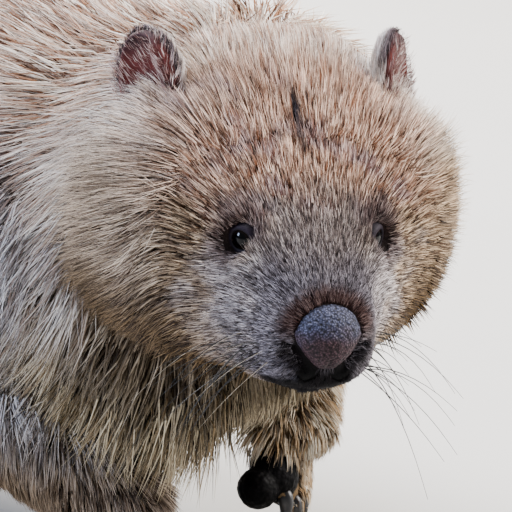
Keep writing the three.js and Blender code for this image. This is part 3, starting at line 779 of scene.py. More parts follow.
class Build:
    """The body's forms, which repeat the sizes of the solids."""

    TORSO_ROWS = [
        [-236, 0, 160, 160, 160],
        [-224, 60, 222, 158, 92],
        [-190, 94, 255, 156, 62],
        [-135, 112, 273, 152, 56],
        [-50, 119, 281, 148, 62],
        [50, 122, 285, 148, 63],
        [150, 123, 287, 150, 66],
        [235, 116, 280, 154, 74],
        [300, 98, 256, 158, 90],
        [345, 72, 224, 160, 112],
        [370, 40, 193, 160, 134],
        [377, 0, 160, 160, 160],
    ]
    HEAD_ROWS = [
        [-46, 0, -34, -34, -34],
        [-44, 15, -18, -34, -50],
        [-37, 25, -8, -38, -58],
        [-20, 31, 5, -40, -63],
        [0, 45, 19, -32, -70],
        [22, 68, 36, -28, -80],
        [44, 87, 50, -26, -88],
        [66, 95, 61, -24, -90],
        [88, 91, 67, -20, -83],
        [106, 76, 65, -14, -66],
        [118, 46, 45, -8, -40],
        [124, 0, 0, 0, 0],
    ]
    HEAD_DEPTHS = [1.5, 1.5, 1.5, 2, 3.5, 6, 9.5, 12, 13, 13, 12, 12]
    NECK_ROWS = [
        [(0, 34, -20), 0, 0, 0],
        [(0, 50, -18), 62, 50, 46],
        [(0, 82, -18), 82, 60, 64],
        [(0, 114, -16), 92, 80, 78],
    ]
    NAPE_ROWS = [
        [(0, -172, 162), 102, 108, 96],
        [(0, -130, 162), 84, 102, 60],
        [(0, -112, 162), 0, 0, 0],
    ]
    LIP = [(8.5, -37, -45, 8.2), (17, -20, -47, 11), (25, 2, -49, 11)]
    JAW = [(0, -25, -57, 6.5), (0, -8, -59, 11), (0, 16, -61, 16)]
    SHOULDER = mm(78, -120, 168)
    ELBOW = mm(92, -92, 104)
    LIFTED_ELBOW = mm(90, -142, 97)
    HIP = mm(70, 228, 166)
    KNEE = mm(86, 184, 110)
    WRIST = {Side.RIGHT: mm(-52, -176, 36), Side.LEFT: mm(53, -195, 62)}
    ANKLE = {Side.RIGHT: mm(-88, 244, 40), Side.LEFT: mm(90, 206, 40)}
    FOREFOOT_TURN = {Side.RIGHT: -8.0, Side.LEFT: 38.0}
    HINDFOOT_TURN = {Side.RIGHT: -8.0, Side.LEFT: 8.0}
    LIFTED_DROOP = 66.0
    LIFTED_DEPTH = 27 * MM
    TAIL = [(mm(0, 360, 150), 11 * MM), (mm(0, 382, 132), 8 * MM)]
    TORSO_DEPTH = 13 * MM
    NECK_DEPTH = 12 * MM
    LEG_DEPTH = 8 * MM
    FOOT_DEPTH = 2 * MM

    def __init__(self, anatomy: Anatomy) -> None:
        """Makes the forms.

        Args:
            anatomy: Where they lie.
        """
        self.anatomy = anatomy
        self.torso = upright(self.TORSO_ROWS, 2.2, 2.1)
        self.torso.rings[:, :3] += anatomy.shift
        self.head = upright(self.HEAD_ROWS, 2.4, 2.4)
        rows = [(anatomy.from_head(mm(*p)), *sizes) for p, *sizes in self.NECK_ROWS]
        rows += [(anatomy.from_body(mm(*p)), *sizes) for p, *sizes in self.NAPE_ROWS]
        rings = [[*p, *(s * MM for s in sizes), 2.1, 2.0] for p, *sizes in rows]
        self.neck = Form(np.array(rings, float), BACKWARD)
        self.tail = [(anatomy.from_body(p), r) for p, r in self.TAIL]
        self.legs = {(kind, side): self.leg(kind, side) for kind in Kind for side in Side}
        self.feet = [self.foot(kind, side) for kind in Kind for side in Side]

    def leg(self, kind: Kind, side: Side) -> list[tuple[list, float]]:
        """The two lengths of a leg.

        Args:
            kind: Fore or hind.
            side: Which side.

        Returns:
            The stops of each length and how flat it is.
        """
        flip = np.array([side.value, 1, 1])
        lifted = is_lifted(kind, side)
        if kind is Kind.FORE:
            top, end = self.SHOULDER * flip, self.WRIST[side]
            bend = (self.LIFTED_ELBOW if lifted else self.ELBOW) * flip
            slim = 0.86 if lifted else 1.0
            upper, lower = [58, 50, 42 * slim], [40 * slim, 33 * slim, 24 * slim]
            flats = (0.8, 0.95)
        else:
            top, end = self.HIP * flip, self.ANKLE[side]
            bend = self.KNEE * flip
            bend[1] += (end[1] - self.ANKLE[Side.RIGHT][1]) * 0.5
            upper, lower = [80, 66, 50], [46, 38, 28]
            flats = (0.8, 0.9)
        first = [top, top + (bend - top) * 0.6, bend]
        second = [bend, (bend + end) / 2, end]
        move = self.anatomy.from_body
        return [
            ([(move(p), r * MM) for p, r in zip(first, upper)], flats[0]),
            ([(move(p), r * MM) for p, r in zip(second, lower)], flats[1]),
        ]

    def foot(self, kind: Kind, side: Side) -> Foot:
        """One foot, planted or lifted.

        Args:
            kind: Fore or hind.
            side: Which side.

        Returns:
            The foot.
        """
        lifted = is_lifted(kind, side)
        if kind is Kind.FORE:
            joint, turn = self.WRIST[side], self.FOREFOOT_TURN[side]
            toes = [(k * 0.78, (17 - 8 * k * k) * MM, k * 16) for k in (-1, -0.5, 0, 0.5, 1)]
            sizes = (58 * MM, 26 * MM, toes, 15 * MM, 4.2 * MM)
        else:
            joint, turn = self.ANKLE[side], self.HINDFOOT_TURN[side]
            toes = [(k * 0.8, (16 - 5 * k * k) * MM, k * 12) for k in (-0.9, -0.3, 0.3, 0.9)]
            sizes = (86 * MM, 25 * MM, toes, 14 * MM, 3.8 * MM)
        drop = self.LIFTED_DEPTH if lifted else joint[2]
        return Foot(kind, side, joint, turn, self.LIFTED_DROOP if lifted else 0.0, drop, *sizes)

    def upper_lips(self) -> list[Form]:
        """The two rounded pads under the nose, in the head's frame."""
        sides = [[(mm(s * x, y, z), r * MM) for x, y, z, r in self.LIP] for s in (1, -1)]
        return [limb(stops, up=UPWARD) for stops in sides]

    def lower_jaw(self) -> Form:
        """The lower jaw, in the head's frame."""
        return limb([(mm(x, y, z), r * MM) for x, y, z, r in self.JAW], 1.45, UPWARD)


@dataclass
class Zone:
    """A stretch of the body that its coat follows, as a swept form or a jointed line."""

    name: str
    form: Form | None = None
    stops: list | None = None
    in_head: bool = False
    table: Array | None = None

    def __post_init__(self) -> None:
        """Tables the form's rings against their place along Y."""
        if self.form is not None:
            u = np.linspace(0, self.form.last, 300)
            self.table = through(self.form.rings, u)

    def measure(self, points: Array) -> tuple[Array, Array, Array, Array]:
        """How places lie against the zone.

        Args:
            points: Places, in the zone's own frame.

        Returns:
            The distance outside its surface, the share of the way along it, the angle round it
            and the direction along it.
        """
        if self.table is not None:
            return self.measure_form(points)
        return self.measure_line(points)

    def measure_form(self, points: Array) -> tuple[Array, Array, Array, Array]:
        """The same for a swept form.

        Args:
            points: Places, in the zone's own frame.

        Returns:
            What measure gives.
        """
        t = self.table
        y = np.clip(points[:, 1], t[0, 1], t[-1, 1])
        cx, cz, wide, rise, drop = (np.interp(y, t[:, 1], t[:, k]) for k in (0, 2, 3, 4, 5))
        dx, dz = points[:, 0] - cx, points[:, 2] - cz
        tall = np.where(dz > 0, rise, drop)
        ratio = np.hypot(dx / np.maximum(wide, 1e-4), dz / np.maximum(tall, 1e-4))
        gap = np.hypot(dx, dz) * (1 - 1 / np.maximum(ratio, 1e-3))
        gap = np.hypot(np.maximum(gap, 0), points[:, 1] - y) + np.minimum(gap, 0)
        share = (y - t[0, 1]) / (t[-1, 1] - t[0, 1])
        along = np.broadcast_to(BACKWARD, points.shape)
        return gap, share, np.arctan2(dz, dx), along

    def measure_line(self, points: Array) -> tuple[Array, Array, Array, Array]:
        """The same for a jointed line of stops.

        Args:
            points: Places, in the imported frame.

        Returns:
            What measure gives.
        """
        places = np.array([p for p, _ in self.stops])
        radii = np.array([r for _, r in self.stops])
        spans = np.linalg.norm(np.diff(places, axis=0), axis=1)
        run = np.concatenate([[0], np.cumsum(spans)])
        best = np.full(len(points), np.inf)
        share, angle = np.zeros(len(points)), np.zeros(len(points))
        along = np.zeros(points.shape)
        for k in range(len(spans)):
            if spans[k] < 1e-6:
                continue
            way = (places[k + 1] - places[k]) / spans[k]
            t = np.clip((points - places[k]) @ way / spans[k], 0, 1)
            apart = points - (places[k] + t[:, None] * way * spans[k])
            gap = np.linalg.norm(apart, axis=1) - (radii[k] * (1 - t) + radii[k + 1] * t)
            side = unit(np.cross(way, [0.0, 1.0, 0.2]))
            closer = gap < best
            best = np.where(closer, gap, best)
            share = np.where(closer, (run[k] + t * spans[k]) / run[-1], share)
            turn = np.arctan2(apart @ np.cross(side, way), apart @ side)
            angle = np.where(closer, turn, angle)
            along[closer] = way
        return best, share, angle, along


@dataclass
class Reading:
    """What the body map reads at some places: one column for each zone of the body."""

    names: list[str]
    points: Array
    weight: Array
    share: Array
    angle: Array
    along: Array
    local: Array

    def on(self, name: str) -> Array:
        """How far each place lies on the zones of one name, from 0 to 1."""
        picks = [i for i, own in enumerate(self.names) if own == name]
        return self.weight[:, picks].sum(1)


@dataclass
class BodyMap:
    """Reads, at any place on the body, which part it is on and how the coat lies there."""

    build: Build
    blend: float = 9 * MM
    nose_tip: Triple = (0, -50, -26)
    tiles: int = 4
    tile_edge: float = 0.02
    anatomy: Anatomy = field(init=False)
    zones: list[Zone] = field(init=False)

    def __post_init__(self) -> None:
        """Lists the zones."""
        build = self.build
        self.anatomy = build.anatomy
        self.zones = [Zone("head", form=build.head, in_head=True), Zone("neck", form=build.neck)]
        self.zones += [Zone("torso", form=build.torso), Zone("tail", stops=build.tail)]
        for (kind, side), lengths in build.legs.items():
            stops = [stop for part, _ in lengths for stop in part]
            self.zones.append(Zone(f"{kind.value}leg", stops=stops))
        for foot in build.feet:
            ends = np.array([[0, 0, -foot.drop * 0.4], [0, foot.ball * 1.6, -foot.drop * 0.7]])
            ends = ends @ foot.matrix.T + self.anatomy.from_body(foot.joint)
            stops = [(ends[0], foot.half * 0.8), (ends[1], foot.half * 0.8)]
            self.zones.append(Zone(f"{foot.kind.value}foot", stops=stops))

    def read(self, points: Array) -> Reading:
        """Measures places against every zone.

        Args:
            points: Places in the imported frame.

        Returns:
            How each place lies on each zone, and where it is in the head's frame.
        """
        local = self.anatomy.to_head(points)
        columns = []
        for zone in self.zones:
            gap, share, angle, along = zone.measure(local if zone.in_head else points)
            if zone.in_head:
                along = unit(local - mm(*self.nose_tip)) @ self.anatomy.head_turn.T
            columns.append((gap, share, angle, along))
        gaps, shares, angles, alongs = (np.stack(column, 1) for column in zip(*columns))
        weights = np.exp(-(gaps - gaps.min(1, keepdims=True)) / self.blend)
        weights /= weights.sum(1, keepdims=True)
        names = [zone.name for zone in self.zones]
        return Reading(names, points, weights, shares, angles, alongs, local)

    def unwrap(self, reading: Reading) -> Array:
        """Where places lie on the flattened skin: each zone is cut open and laid on its own tile.

        Args:
            reading: What read gave.

        Returns:
            Two coordinates for each place, from 0 to 1.
        """
        pick = reading.weight.argmax(1)
        rows = np.arange(len(pick))
        u = reading.angle[rows, pick] / (2 * math.pi) + 0.5
        v = reading.share[rows, pick]
        tile = np.stack([pick % self.tiles, pick // self.tiles], 1)
        inner = 1 - 2 * self.tile_edge
        return (tile + self.tile_edge + inner * np.stack([u, v], 1)) / self.tiles


@dataclass
class Hair:
    """How the coat grows at some places: its lie, sizes and colours."""

    lie: Array
    length: Array
    width: Array
    lift: Array
    density: Array
    tones: Array

    def table(self) -> Array:
        """All of it as one row of numbers for each place."""
        singles = np.stack([self.length, self.width, self.lift, self.density], 1)
        return np.hstack([self.lie, singles, self.tones])

    @staticmethod
    def of(table: Array) -> "Hair":
        """The same, read back from rows of numbers."""
        return Hair(unit(table[:, :3]), *table[:, 3:7].T, table[:, 7:])


@dataclass
class Lie:
    """Works out how the coat grows over the skin.

    Each row of sizes holds the name of a zone, its hair's length and width in millimetres, its lift
    in degrees and how densely it grows.
    """

    body: BodyMap
    marks: Markings = Markings()
    face_stations: tuple[float, ...] = (-50, -28, -8, 12, 34, 58, 84, 110)
    face_lengths: tuple[float, ...] = (3.4, 4.6, 6.8, 9.5, 15, 22, 27, 27)
    face_widths: tuple[float, ...] = (0.34, 0.38, 0.43, 0.5, 0.58, 0.64, 0.7, 0.75)
    face_lifts: tuple[float, ...] = (16, 18, 20, 24, 30, 38, 40, 34)
    head_density: float = 1.75
    sizes: tuple = (
        ("neck", 33, 0.85, 34, 1.25),
        ("torso", 36, 0.88, 25, 0.85),
        ("tail", 12, 0.8, 25, 0.8),
        ("foreleg", 25, 0.75, 24, 1.2),
        ("hindleg", 27, 1.0, 24, 0.85),
        ("forefoot", 9, 0.6, 24, 0.9),
        ("hindfoot", 9, 0.75, 22, 0.8),
    )
    softening: int = 6
    bare_eye: float = 6.9 * MM
    lid_hair: float = 2.6
    lid_slope: float = 0.36
    ear_base: Triple = (57, 74, 44)
    floor_clearance: float = 5 * MM
    pad_centre: Triple = (0, -40, -28)
    pad_radii: Triple = (14.8, 12, 14)
    mark: tuple[float, float] = (0.0, 38.5)

    @property
    def anatomy(self) -> Anatomy:
        """Where the body's tables lie."""
        return self.body.anatomy

    def out_of_pad(self, local: Array) -> Array:
        """How far places of the head's frame lie from the nose pad's middle, 1 at its edge."""
        return out_of(local, mm(*self.pad_centre), mm(*self.pad_radii))

    def grow(self, shell: Shell) -> Hair:
        """The coat at each point of a skin.

        Args:
            shell: The skin.

        Returns:
            Its hair.
        """
        points, normals = shell.points, shell.normals()
        at = self.body.read(points)
        local = at.local
        lie = self.directions(at)
        lie = shell.softened(lie, self.softening)
        lie = unit(lie - normals * (lie * normals).sum(1, keepdims=True))
        face = [
            np.interp(local[:, 1] / MM, self.face_stations, row)
            for row in (self.face_lengths, self.face_widths, self.face_lifts)
        ]
        top = ease(local[:, 2], 0, 45 * MM) * ease(np.abs(local[:, 0]), 60 * MM, 30 * MM)
        face[0] = face[0] * (1 - 0.3 * top)
        values = [at.on("head") * row for row in face]
        values.append(self.head_density * at.on("head"))
        for name, *sizes in self.sizes:
            share = at.on(name)
            values = [value + share * size for value, size in zip(values, sizes)]
        length, width, lift, density = values
        density = density * (1 + 0.7 * ease(local[:, 1], 5 * MM, 60 * MM))
        length = self.shaped_length(length, at)
        density = density * self.clear(at, normals) / (length * width)
        length = length * (1 - 0.14 * ease(points[:, 2], 0.24, 0.268))
        hem = at.on("torso") * ease(points[:, 1], -0.13, -0.18)
        hem = hem * ease(points[:, 2], 0.13, 0.09)
        lifted = at.on("foreleg") * (points[:, 0] > 0.02)
        length = length * (1 - 0.42 * lifted * ease(points[:, 2], 0.16, 0.12))
        near_side = ease(points[:, 0], 0.0, -0.03)
        hang = hem * near_side * ease(-normals[:, 2], -0.1, 0.6)
        lift, length = lift + 38 * hang, length * (1 + hem * (0.75 * near_side - 0.4))
        for side in Side:
            base = mm(side.value * self.ear_base[0], *self.ear_base[1:])
            apart = np.linalg.norm(local - base, axis=1)
            length = length * (0.5 + 0.5 * ease(apart, 14 * MM, 36 * MM))
        rear = ease(points[:, 1], -0.1, 0.12)
        width, density = width * (1 + 0.5 * rear), density * (1 - 0.4 * rear)
        lift = np.radians(lift)
        return Hair(lie, length * MM, width * MM, lift, density, self.colours(at))

    def directions(self, at: Reading) -> Array:
        """The way the coat lies, before it is laid on the skin.

        Args:
            at: The body map's reading of the places.

        Returns:
            A direction for each place.
        """
        along = at.along.copy()
        for i, zone in enumerate(self.body.zones):
            if zone.name in ("torso", "neck"):
                drape = np.cos(at.angle[:, i])
                along[:, i, 2] -= 0.75 * np.abs(drape)
                front = ease(at.points[:, 1], -0.17, -0.22)
                along[:, i, 2] -= 1.2 * front
            elif zone.name == "head":
                along[:, i, 2] -= 0.35 * ease(np.abs(at.local[:, 0]), 20 * MM, 70 * MM)
            elif zone.name.endswith("leg"):
                along[:, i] *= 0.3
                along[:, i, 1] += 0.1
                along[:, i, 2] -= 1.0
        flow = (along * at.weight[:, :, None]).sum(1)
        for side in Side:
            apart, out, _ = self.anatomy.round_eye(side, at.local)
            near = np.exp(-((apart / (11 * MM)) ** 2)) * (at.local[:, 1] < 0.03)
            flow += 1.6 * near[:, None] * (out @ self.anatomy.head_turn.T)
        wander = np.stack([ripple(at.points, 26 * MM, seed) for seed in (1, 2, 3)], 1)
        waves = 0.1 + 0.14 * ease(np.abs(at.local[:, 1]), 0.05, 0.1)
        return unit(flow) + waves[:, None] * wander

    def shaped_length(self, length: Array, at: Reading) -> Array:
        """Hair length in millimetres, shorter by the eyes and down the legs, longer at the chest.

        Args:
            length: The length of each part's coat.
            at: The body map's reading of the places.

        Returns:
            The length at each place.
        """
        height = at.points[:, 2]
        for side in Side:
            centre, gaze = self.anatomy.eye(side)
            apart = np.linalg.norm(at.local - (centre + gaze * self.anatomy.EYE_RADIUS), axis=1)
            length = np.minimum(length, self.lid_hair + self.lid_slope * apart / MM)
        legs = at.on("foreleg") + at.on("hindleg")
        length = length * (1 - 0.5 * legs * ease(height, 0.11, 0.04))
        low = ease(height, 0.12, 0.075) * at.on("torso")
        return length * (1 - 0.3 * low * ease(at.points[:, 1], -0.16, -0.1))

    def clear(self, at: Reading, normals: Array) -> Array:
        """Where hair grows: not on the lids, nose pad and soles.

        Args:
            at: The body map's reading of the places.
            normals: The skin's outward directions.

        Returns:
            0 where the skin is bare and 1 elsewhere.
        """
        local, points = at.local, at.points
        keep = np.ones(len(local))
        for side in Side:
            apart, _, before = self.anatomy.round_eye(side, local)
            keep *= ~((apart < self.bare_eye) & before)
        keep *= self.out_of_pad(local) > 1
        keep *= ~((points[:, 2] < self.floor_clearance) & (normals[:, 2] < -0.2))
        wall = (np.abs(local[:, 1] - 31.5 * MM) < 4 * MM) & (np.abs(local[:, 0]) < 40 * MM)
        keep *= ~(wall & (np.abs(local[:, 2] + 25 * MM) < 30 * MM))
        for side in Side:
            keep *= groove(local, NosePad.slit(side), (2.2, 4.5, 6.2)) < 0.4
        for foot in self.body.build.feet:
            own = (points - self.anatomy.from_body(foot.joint)) @ foot.matrix
            for spot, radii in foot.pads():
                keep *= out_of(own, spot, radii + 0.5 * MM) > 1
        return keep

    def colours(self, at: Reading) -> Array:
        """The colours of skin and coat.

        Args:
            at: The body map's reading of the places.

        Returns:
            Nine numbers for each place: the dark, main and pale colours.
        """
        m, local, points = self.marks, at.local, at.points
        x, y, z = (local / MM).T
        wide = np.abs(x)
        patch = ripple(points, 16 * MM, 11)
        broad = ripple(points, 60 * MM, 12)
        rows = np.broadcast_to(m.flank.row(), (len(points), 9)).copy()

        def lay(tone: Tone, share: Array) -> None:
            """Lays a tone over what is there, by its share at each place."""
            part = np.clip(share, 0, 1)[:, None]
            rows[:] = rows * (1 - part) + tone.row() * part

        height = points[:, 2]
        lay(m.back, ease(height + 0.02 * broad, 0.17, 0.25))
        lay(m.rump, ease(points[:, 1], 0.12, 0.3) * 0.75)
        lay(m.belly, ease(height + 0.012 * broad, 0.12, 0.07))
        lay(m.chest, ease(points[:, 1], -0.15, -0.2) * ease(height, 0.19, 0.12))
        # Painted shade: the throat under the head is laid in a near-black tone.
        throat_shade = ease(z, -60, -76) * ease(z, -112, -92) * ease(wide, 92, 66)
        throat_shade *= ease(y, 0, 16) * ease(y, 130, 96)
        lay(m.throat_shade, throat_shade * 0.75)
        lay(m.shoulder, ease(at.on("foreleg") + 0.15 * patch, 0.1, 0.8))
        lay(m.leg, at.on("foreleg") * ease(height, 0.12, 0.06))
        lay(m.leg, at.on("hindleg") * ease(height, 0.14, 0.06))
        # Painted light: the lifted foreleg, and in part the front of the foot on that side, are
        # laid in a paler copy of the leg colour.
        lifted = (points[:, 0] > 0) * at.on("foreleg")
        lay(m.lit_forearm, lifted * ease(height, 0.14, 0.1))
        feet = at.on("forefoot") + at.on("hindfoot")
        lay(m.foot, feet)
        lay(m.lit_forearm, feet * (points[:, 0] > 0) * ease(points[:, 1], -0.1, -0.16) * 0.6)
        head = at.on("head")
        # The ruff is the head's base tone: pale fur, with painted backlight on the fringe.
        lay(m.ruff_backlit, head)
        lay(m.cheek, head * ease(y, 94, 60) * ease(z + 4 * patch, 36, 8))
        lay(m.bridge, head * ease(wide + 5 * patch, 50, 26) * ease(y + 4 * patch, 32, 8) * 0.8)
        # Painted shade: the lower cheeks are laid in a dark tone.
        lay(m.jowl, head * ease(z + 3 * patch, -16, -46) * ease(y, 92, 60) * ease(y, 4, 18))
        brow = ease(z + 0.35 * y + 4 * patch, 4, 20) * ease(wide + 5 * patch, 72, 46)
        lay(m.forehead, head * brow * ease(y, 86, 66))
        lay(m.violet, head * brow * ease(patch + 0.5 * broad, 0.3, 1.3) * 0.5)
        fleck = ease(ripple(points, 11 * MM, 13), 0.3, 1.4) * ease(wide, 52, 20)
        lay(m.rufous, head * ease(z, 16, 30) * fleck * 0.7)
        lay(m.crown, head * ease(z + 0.25 * y, 60, 78))
        low_face = ease(y + 4 * patch, 30, 6) * ease(z, 4, -10) * ease(z, -54, -34)
        lay(m.under_eye, head * ease(wide + 5 * patch, 56, 30) * low_face * 0.75)
        lay(m.bridge, head * ease(wide + 4 * patch, 32, 14) * ease(y + 3 * patch, 14, -8) * 0.9)
        for side in Side:
            centre, _ = self.anatomy.eye(side)
            apart = np.linalg.norm(local - centre, axis=1) / MM
            lay(m.lid_fur, head * ease(apart + 2 * patch, 20, 12) * 0.75)
        lay(m.muzzle, head * ease(y + 4 * patch, -4, -30) * ease(z, 12, -12) * 0.8)
        pad = self.out_of_pad(local)
        lay(m.rim_fur, head * ease(pad, 1.6, 1.2) * ease(z, -34, -22))
        # The mouth's line and the front of the face below the nose pad get the near-black lips
        # tone: the dark lips, and painted shade of the mouth.
        mouth_shade = ease(z + 0.25 * (y + 45) + 0.5 * np.maximum(wide - 7, 0), -42, -45)
        mouth_shade *= ease(y, 2, -10)
        lay(m.lips, head * mouth_shade)
        # Painted shade: the skin and hair round each nostril slit get the near-black lips tone.
        for side in Side:
            slit = NosePad.slit(side)
            lay(m.lips, groove(local, slit, (2.4, 4.8, 6.6)) * 1.7)
        scar = np.hypot((x - self.mark[0]) / 2.0, (z - self.mark[1]) / 7)
        lay(m.mark, head * ease(scar + 0.3 * patch, 1.4, 0.8) * (y < 60) * (z > 0))
        return rows


@dataclass(frozen=True)
class TuftStyle:
    """How the hairs of a tuft are drawn together and how much they differ."""

    clump: float = 6 * MM
    pull: float = 0.5
    stray: float = 0.06
    uneven: float = 0.22
    root_shade: float = 0.88
    tip_pale: float = 0.45
    contrast: float = 1.0
    shared: float = 0.5


@dataclass
class Coat:
    """Grows closed, tapered tufts of mesh from a skin."""

    body: BodyMap
    finish: Material
    sunk: float = 1.6 * MM
    patch: float = 0.003
    piece_tufts: int = 32500
    highest: float = 1.12

    FACES = np.array([[0, 2, 1], [0, 3, 2], [0, 1, 3], [1, 2, 4], [2, 3, 4], [3, 1, 4]])
    FLAT = np.array([[0.5, 0], [0, 0.4], [1, 0.4], [0.5, 0.62], [0.5, 1]])

    @staticmethod
    def weights(shell: Shell, density: Array) -> Array:
        """How much hair each triangle of a skin calls for.

        Args:
            shell: The skin.
            density: How densely hair grows at each of its points.

        Returns:
            Each triangle's area by its least density.
        """
        corners = shell.points[shell.faces]
        edges = corners[:, 1:] - corners[:, :1]
        area = np.linalg.norm(np.cross(edges[:, 0], edges[:, 1]), axis=1)
        return area * density[shell.faces].min(1)

    def scatter(
        self, shell: Shell, table: Array, count: int, seed: int
    ) -> tuple[Array, Array, Array]:
        """Places roots on a skin by the density of its hair.

        Args:
            shell: The skin.
            table: A row of hair values for each of its points.
            count: How many roots.
            seed: The draw.

        Returns:
            The roots, their outward directions and their rows of hair values.
        """
        random = np.random.default_rng(seed)
        normals = shell.normals()
        chance = self.weights(shell, table[:, 6])
        pick = random.choice(len(chance), count, p=chance / chance.sum())
        a, b = random.random((2, count))
        flip = a + b > 1
        a, b = np.where(flip, 1 - a, a), np.where(flip, 1 - b, b)
        share = np.stack([1 - a - b, a, b], 1)[:, :, None]
        faces = shell.faces[pick]
        roots = (shell.points[faces] * share).sum(1)
        outs = unit((normals[faces] * share).sum(1))
        return roots, outs, (table[faces] * share).sum(1)

    def tufts(
        self, roots: Array, outs: Array, hair: Hair, style: TuftStyle, seed: int
    ) -> tuple[Array, Array]:
        """Shapes and colours tufts.

        Args:
            roots: Where they grow.
            outs: The skin's outward directions there.
            hair: Their lie, sizes and colours.
            style: How they are drawn together.
            seed: The draw.

        Returns:
            The five points of each tuft and the colour of each point.
        """
        random = np.random.default_rng(seed)
        count = len(roots)
        stray = random.random(count) < style.stray
        length = hair.length * random.normal(1, style.uneven, count).clip(0.55, 1.5)
        length *= np.where(stray, 1.25, 1)
        lift = hair.lift * random.normal(1, 0.22, count).clip(0.5, 1.6) + np.where(stray, 0.2, 0)
        side = unit(np.cross(outs, hair.lie))
        spread = 0.12 + 0.12 * ease(hair.length, 18 * MM, 34 * MM)
        swing = np.tan(spread * random.normal(0, 1, count).clip(-2, 2))[:, None]
        way = unit(hair.lie + side * swing)
        rise, fall = lift[:, None] * 1.35, lift[:, None] * 0.62
        near_part, far_part = 0.42 * length[:, None], 0.58 * length[:, None]
        middle = roots + near_part * (way * np.cos(rise) + outs * np.sin(rise))
        tip = middle + far_part * (way * np.cos(fall) + outs * np.sin(fall))
        near = self.leaders(roots, style.clump, seed)
        pull = (style.pull * random.uniform(0.5, 1.2, count) * ~stray)[:, None]
        tip += pull * (tip[near] - tip)
        middle += 0.4 * pull * (middle[near] - middle)
        nominal = 0.5 * hair.length * (np.sin(hair.lift * 1.35) + np.sin(hair.lift * 0.62))
        over = np.maximum(((tip - roots) * outs).sum(1) - self.highest * nominal, 0)
        tip -= outs * over[:, None]
        middle -= outs * 0.4 * over[:, None]
        side = unit(np.cross(outs, tip - roots))
        width = (hair.width * random.normal(1, 0.2, count).clip(0.55, 1.6))[:, None]
        width = np.where(stray[:, None], width * 0.65, width)
        base = roots - outs * self.sunk
        rows = [base, middle - side * width * 0.5, middle + side * width * 0.5]
        rows += [middle + outs * width * 0.5, tip]
        points = np.stack(rows, 1)
        points[:, :, 2] += np.maximum(0.3 * MM - points[:, :, 2].min(1), 0)[:, None]
        return points, self.coloured(hair.tones, near, style, random)

    def leaders(self, roots: Array, spacing: float, seed: int) -> Array:
        """The tuft that each tuft leans to.

        Args:
            roots: Where the tufts grow.
            spacing: How far apart the leaders are, roughly.
            seed: The draw.

        Returns:
            The leader of each tuft, by number.
        """
        cells = np.floor(roots / spacing).astype(np.int64)
        key = (cells * np.array([73856093, 19349663, 83492791])).sum(1)
        order = np.random.default_rng(seed + 1).permutation(len(roots))
        _, first = np.unique(key[order], return_index=True)
        chosen = order[first]
        tree = KDTree(len(chosen))
        for number in chosen:
            tree.insert(roots[number], int(number))
        tree.balance()
        return np.array([tree.find(root)[1] for root in roots])

    def coloured(
        self, tones: Array, near: Array, style: TuftStyle, random: np.random.Generator
    ) -> Array:
        """The colour of each point of each tuft.

        Args:
            tones: The dark, main and pale colours at each root.
            near: Each tuft's leader.
            style: How much the tufts differ.
            random: The source of the draws.

        Returns:
            Red, green and blue for five points of each tuft.
        """
        dark, main, pale = tones[:, :3], tones[:, 3:6], tones[:, 6:9]
        own = random.normal(0, style.contrast, len(tones))
        shared = random.normal(0, style.contrast, len(tones))[near]
        tone = np.clip(0.75 * own + style.shared * shared, -1, 1)[:, None]
        body = np.where(tone > 0, main + (pale - main) * tone, main + (main - dark) * tone)
        # Roots are darker: the hairs' own darker bases, and painted shade deep in the coat.
        root = body + (dark - body) * style.root_shade
        tip = body + (pale - body) * style.tip_pale * random.random((len(tones), 1))
        return np.stack([root, body, body, body, tip], 1)

    def piece(self, name: str, points: Array, colours: Array, flat: Array) -> None:
        """Makes one piece of the coat.

        Args:
            name: Its name.
            points: The five points of each tuft.
            colours: The colour of each point.
            flat: Each root's place on the flattened skin.
        """
        count = len(points)
        faces = (np.arange(count)[:, None, None] * 5 + self.FACES).reshape(-1, 3)
        made = make_mesh(name, Shell(points.reshape(-1, 3), faces), smooth=False)
        paint(made, "coat", colours.reshape(-1, 3))
        low, high = flat.min(0), flat.max(0)
        start = (flat - low) / (high - low) * (1 - 2 * self.patch) + self.patch / 2
        spots = start[:, None, :] + self.FLAT * self.patch
        corners = spots.reshape(-1, 2)[faces.ravel()].astype(np.float32)
        made.data.uv_layers.new(name="OFBake").uv.foreach_set("vector", corners.ravel())
        place(made, self.finish, "coat")

    def cover(
        self, name: str, shell: Shell, hair: Hair, count: int, style: TuftStyle, seed: int
    ) -> None:
        """Grows tufts all over a skin, in pieces of a size that the model can hold.

        Args:
            name: The start of the pieces' names.
            shell: The skin.
            hair: How its coat grows.
            count: How many tufts.
            style: How they are drawn together.
            seed: The draw.
        """
        roots, outs, rows = self.scatter(shell, hair.table(), count, seed)
        flat = self.body.unwrap(self.body.read(roots))
        points, colours = self.tufts(roots, outs, Hair.of(rows), style, seed)
        order = np.argsort(roots[:, 1], kind="stable")
        parts = math.ceil(count / self.piece_tufts)
        for number, part in enumerate(np.array_split(order, parts), 1):
            self.piece(f"{name}_{number}", points[part], colours[part], flat[part])


